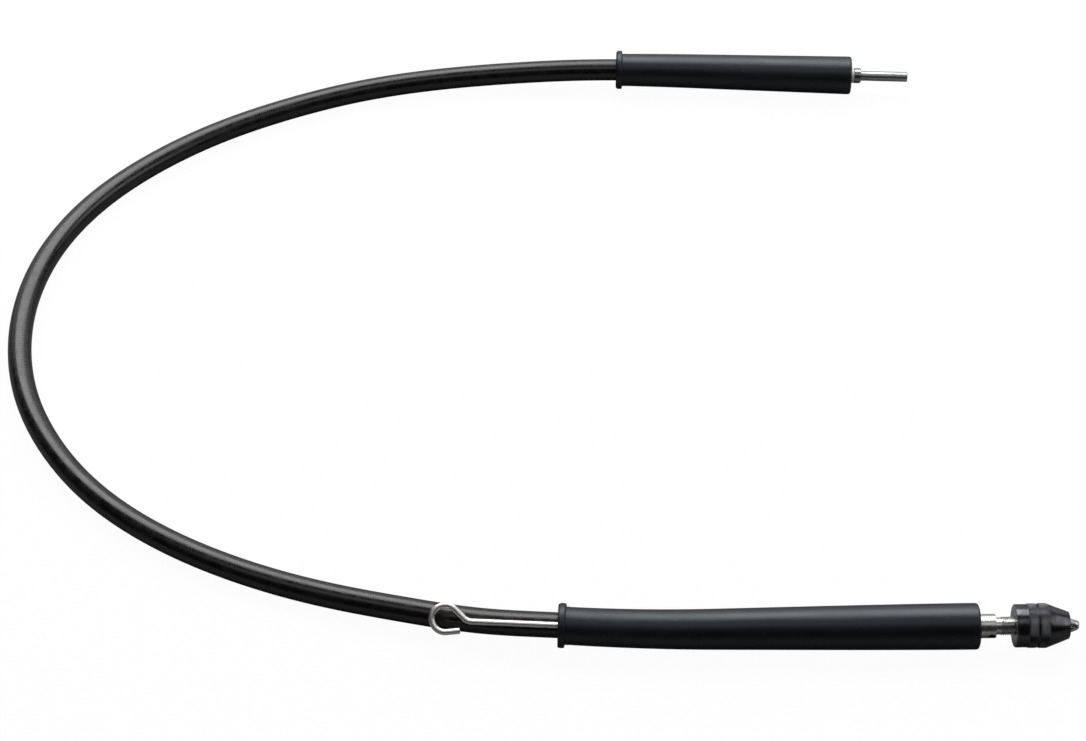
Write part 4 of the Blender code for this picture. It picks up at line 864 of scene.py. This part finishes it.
wear(hoseSheath, hosePaint())
wear(handpieceGrip, rubberPaint("handpieceRubber"))
wear(driveGrip, rubberPaint("driveRubber", 3.3))
wear(spindleShaft, steelPaint("spindleSteel", "ground"))
paintHoleShade(spindleShaft)
wear(driveShaft, steelPaint("shankSteel", "shank"))
wear(stopCollar, steelPaint("collarSteel", "collar"))
wear(thrustWasher, nylonPaint())
wear(lockPinPiece, steelPaint("pinWire", "wire", 1.4, 0.5))
wear(linerPiece, steelPaint("linerSteel", "plain"))
wear(corePiece, steelPaint("coreSteel", "wire", 3.0))
wear(chuckPieces[0], blackSteelPaint("chuckBodySteel"))
wear(chuckPieces[1], blackSteelPaint("chuckSleeveSteel"))
for jaw in chuckPieces[2:]:
    wear(jaw, steelPaint(f"{jaw.name}Steel", "jaw"))

tubeSteel = plainSteelPaint("tubeSteel", "plain")
driveTubeSteel = plainSteelPaint("driveTubeSteel", "plain", 3.3)
bearingSteel = plainSteelPaint("bearingSteel", "bearing")
springSteel = plainSteelPaint("springSteel", "wire")
sinteredBronze = bronzePaint()
innerFinish = {"drive_bush_front": sinteredBronze, "drive_bush_rear": sinteredBronze,
               "drive_housing": driveTubeSteel, "drive_ferrule": driveTubeSteel,
               "drive_circlip": springSteel, "spindle_circlip": springSteel}
for node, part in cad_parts.items():
    usual = bearingSteel if "race" in node or "cage" in node else tubeSteel
    for slot in [] if part.hide_render else part.material_slots:
        slot.material = innerFinish.get(node, usual)
print("materials made")


# ---- floor and light ----

# The camera sees a white floor and walls. Reflections see a grey floor just under it, shaded by the object.
studio = {"floorColour": (0.03, 0.03, 0.03, 1), "floorGlow": 0.965, "greyFloor": (0.21, 0.21, 0.21, 1),
          "backdropColour": (0.1, 0.1, 0.1, 1), "backdropGlow": 0.75, "air": 0.02, "room": 12,
          "under": -0.0005}
# each light: middle, the point it faces, width and depth, power in watts
lights = {"mainSoftbox": ((-0.1, 1.45, 2.1), (-0.1, 0.0, 0.0), (3.4, 1.7), 92.0),
          "frontSoftbox": ((-0.1, -0.83, 2.1), (-0.1, -0.1, 0.0), (3.4, 0.84), 7.5),
          "sideSoftbox": ((2.1, -0.12, 1.25), (0.16, -0.22, 0.0), (1.9, 0.9), 11.0)}


def addStage(name, corners, faces, colour, glow, seen):
    # flat faces; seen says which rays meet them
    mesh = bpy.data.meshes.new(name)
    mesh.from_pydata(corners, [], faces)
    piece = bpy.data.objects.new(name, mesh)
    scene.collection.objects.link(piece)
    paint = Paint(name)
    wear(piece, paint.finish(Base_Color=colour, Roughness=0.9, Specular_IOR_Level=0.0,
                             Emission_Color=(1, 1, 1, 1), Emission_Strength=glow))
    piece.visible_camera = seen == "camera"
    piece.visible_diffuse = piece.visible_glossy = piece.visible_shadow = seen != "camera"


def addLight(name, place, aim, size, power):
    data = bpy.data.lights.new(name, "AREA")
    data.shape, data.size, data.size_y, data.energy = "RECTANGLE", size[0], size[1], power
    light = bpy.data.objects.new(name, data)
    light.location = place
    light.rotation_euler = (Vector(place) - Vector(aim)).to_track_quat("Z", "Y").to_euler()
    scene.collection.objects.link(light)


far = studio["room"]
square = np.array([(-far, -far, 0), (far, -far, 0), (far, far, 0), (-far, far, 0)])
oneFace, roomFaces = [(0, 1, 2, 3)], [(0, 1, 2, 3), (0, 1, 5, 4), (1, 2, 6, 5), (2, 3, 7, 6), (3, 0, 4, 7)]
addStage("floor", np.vstack([square, square + [0, 0, far]]), roomFaces,
         studio["floorColour"], studio["floorGlow"], "camera")
addStage("greyFloor", square + [0, 0, studio["under"]], oneFace, studio["greyFloor"], 0.0, "reflections")
wall = [(-4, 3.2, 0), (4, 3.2, 0), (4, 3.2, 3), (-4, 3.2, 3)]
addStage("backdrop", wall, oneFace, studio["backdropColour"], studio["backdropGlow"], "reflections")
for name, light in lights.items():
    addLight(name, *light)
world = bpy.data.worlds.new("studioAir")
world.use_nodes = True
world.node_tree.nodes["Background"].inputs["Color"].default_value = (1, 1, 1, 1)
world.node_tree.nodes["Background"].inputs["Strength"].default_value = studio["air"]
scene.world = world
scene.view_settings.view_transform = "Standard"
scene.view_settings.look = "None"
print("studio made")
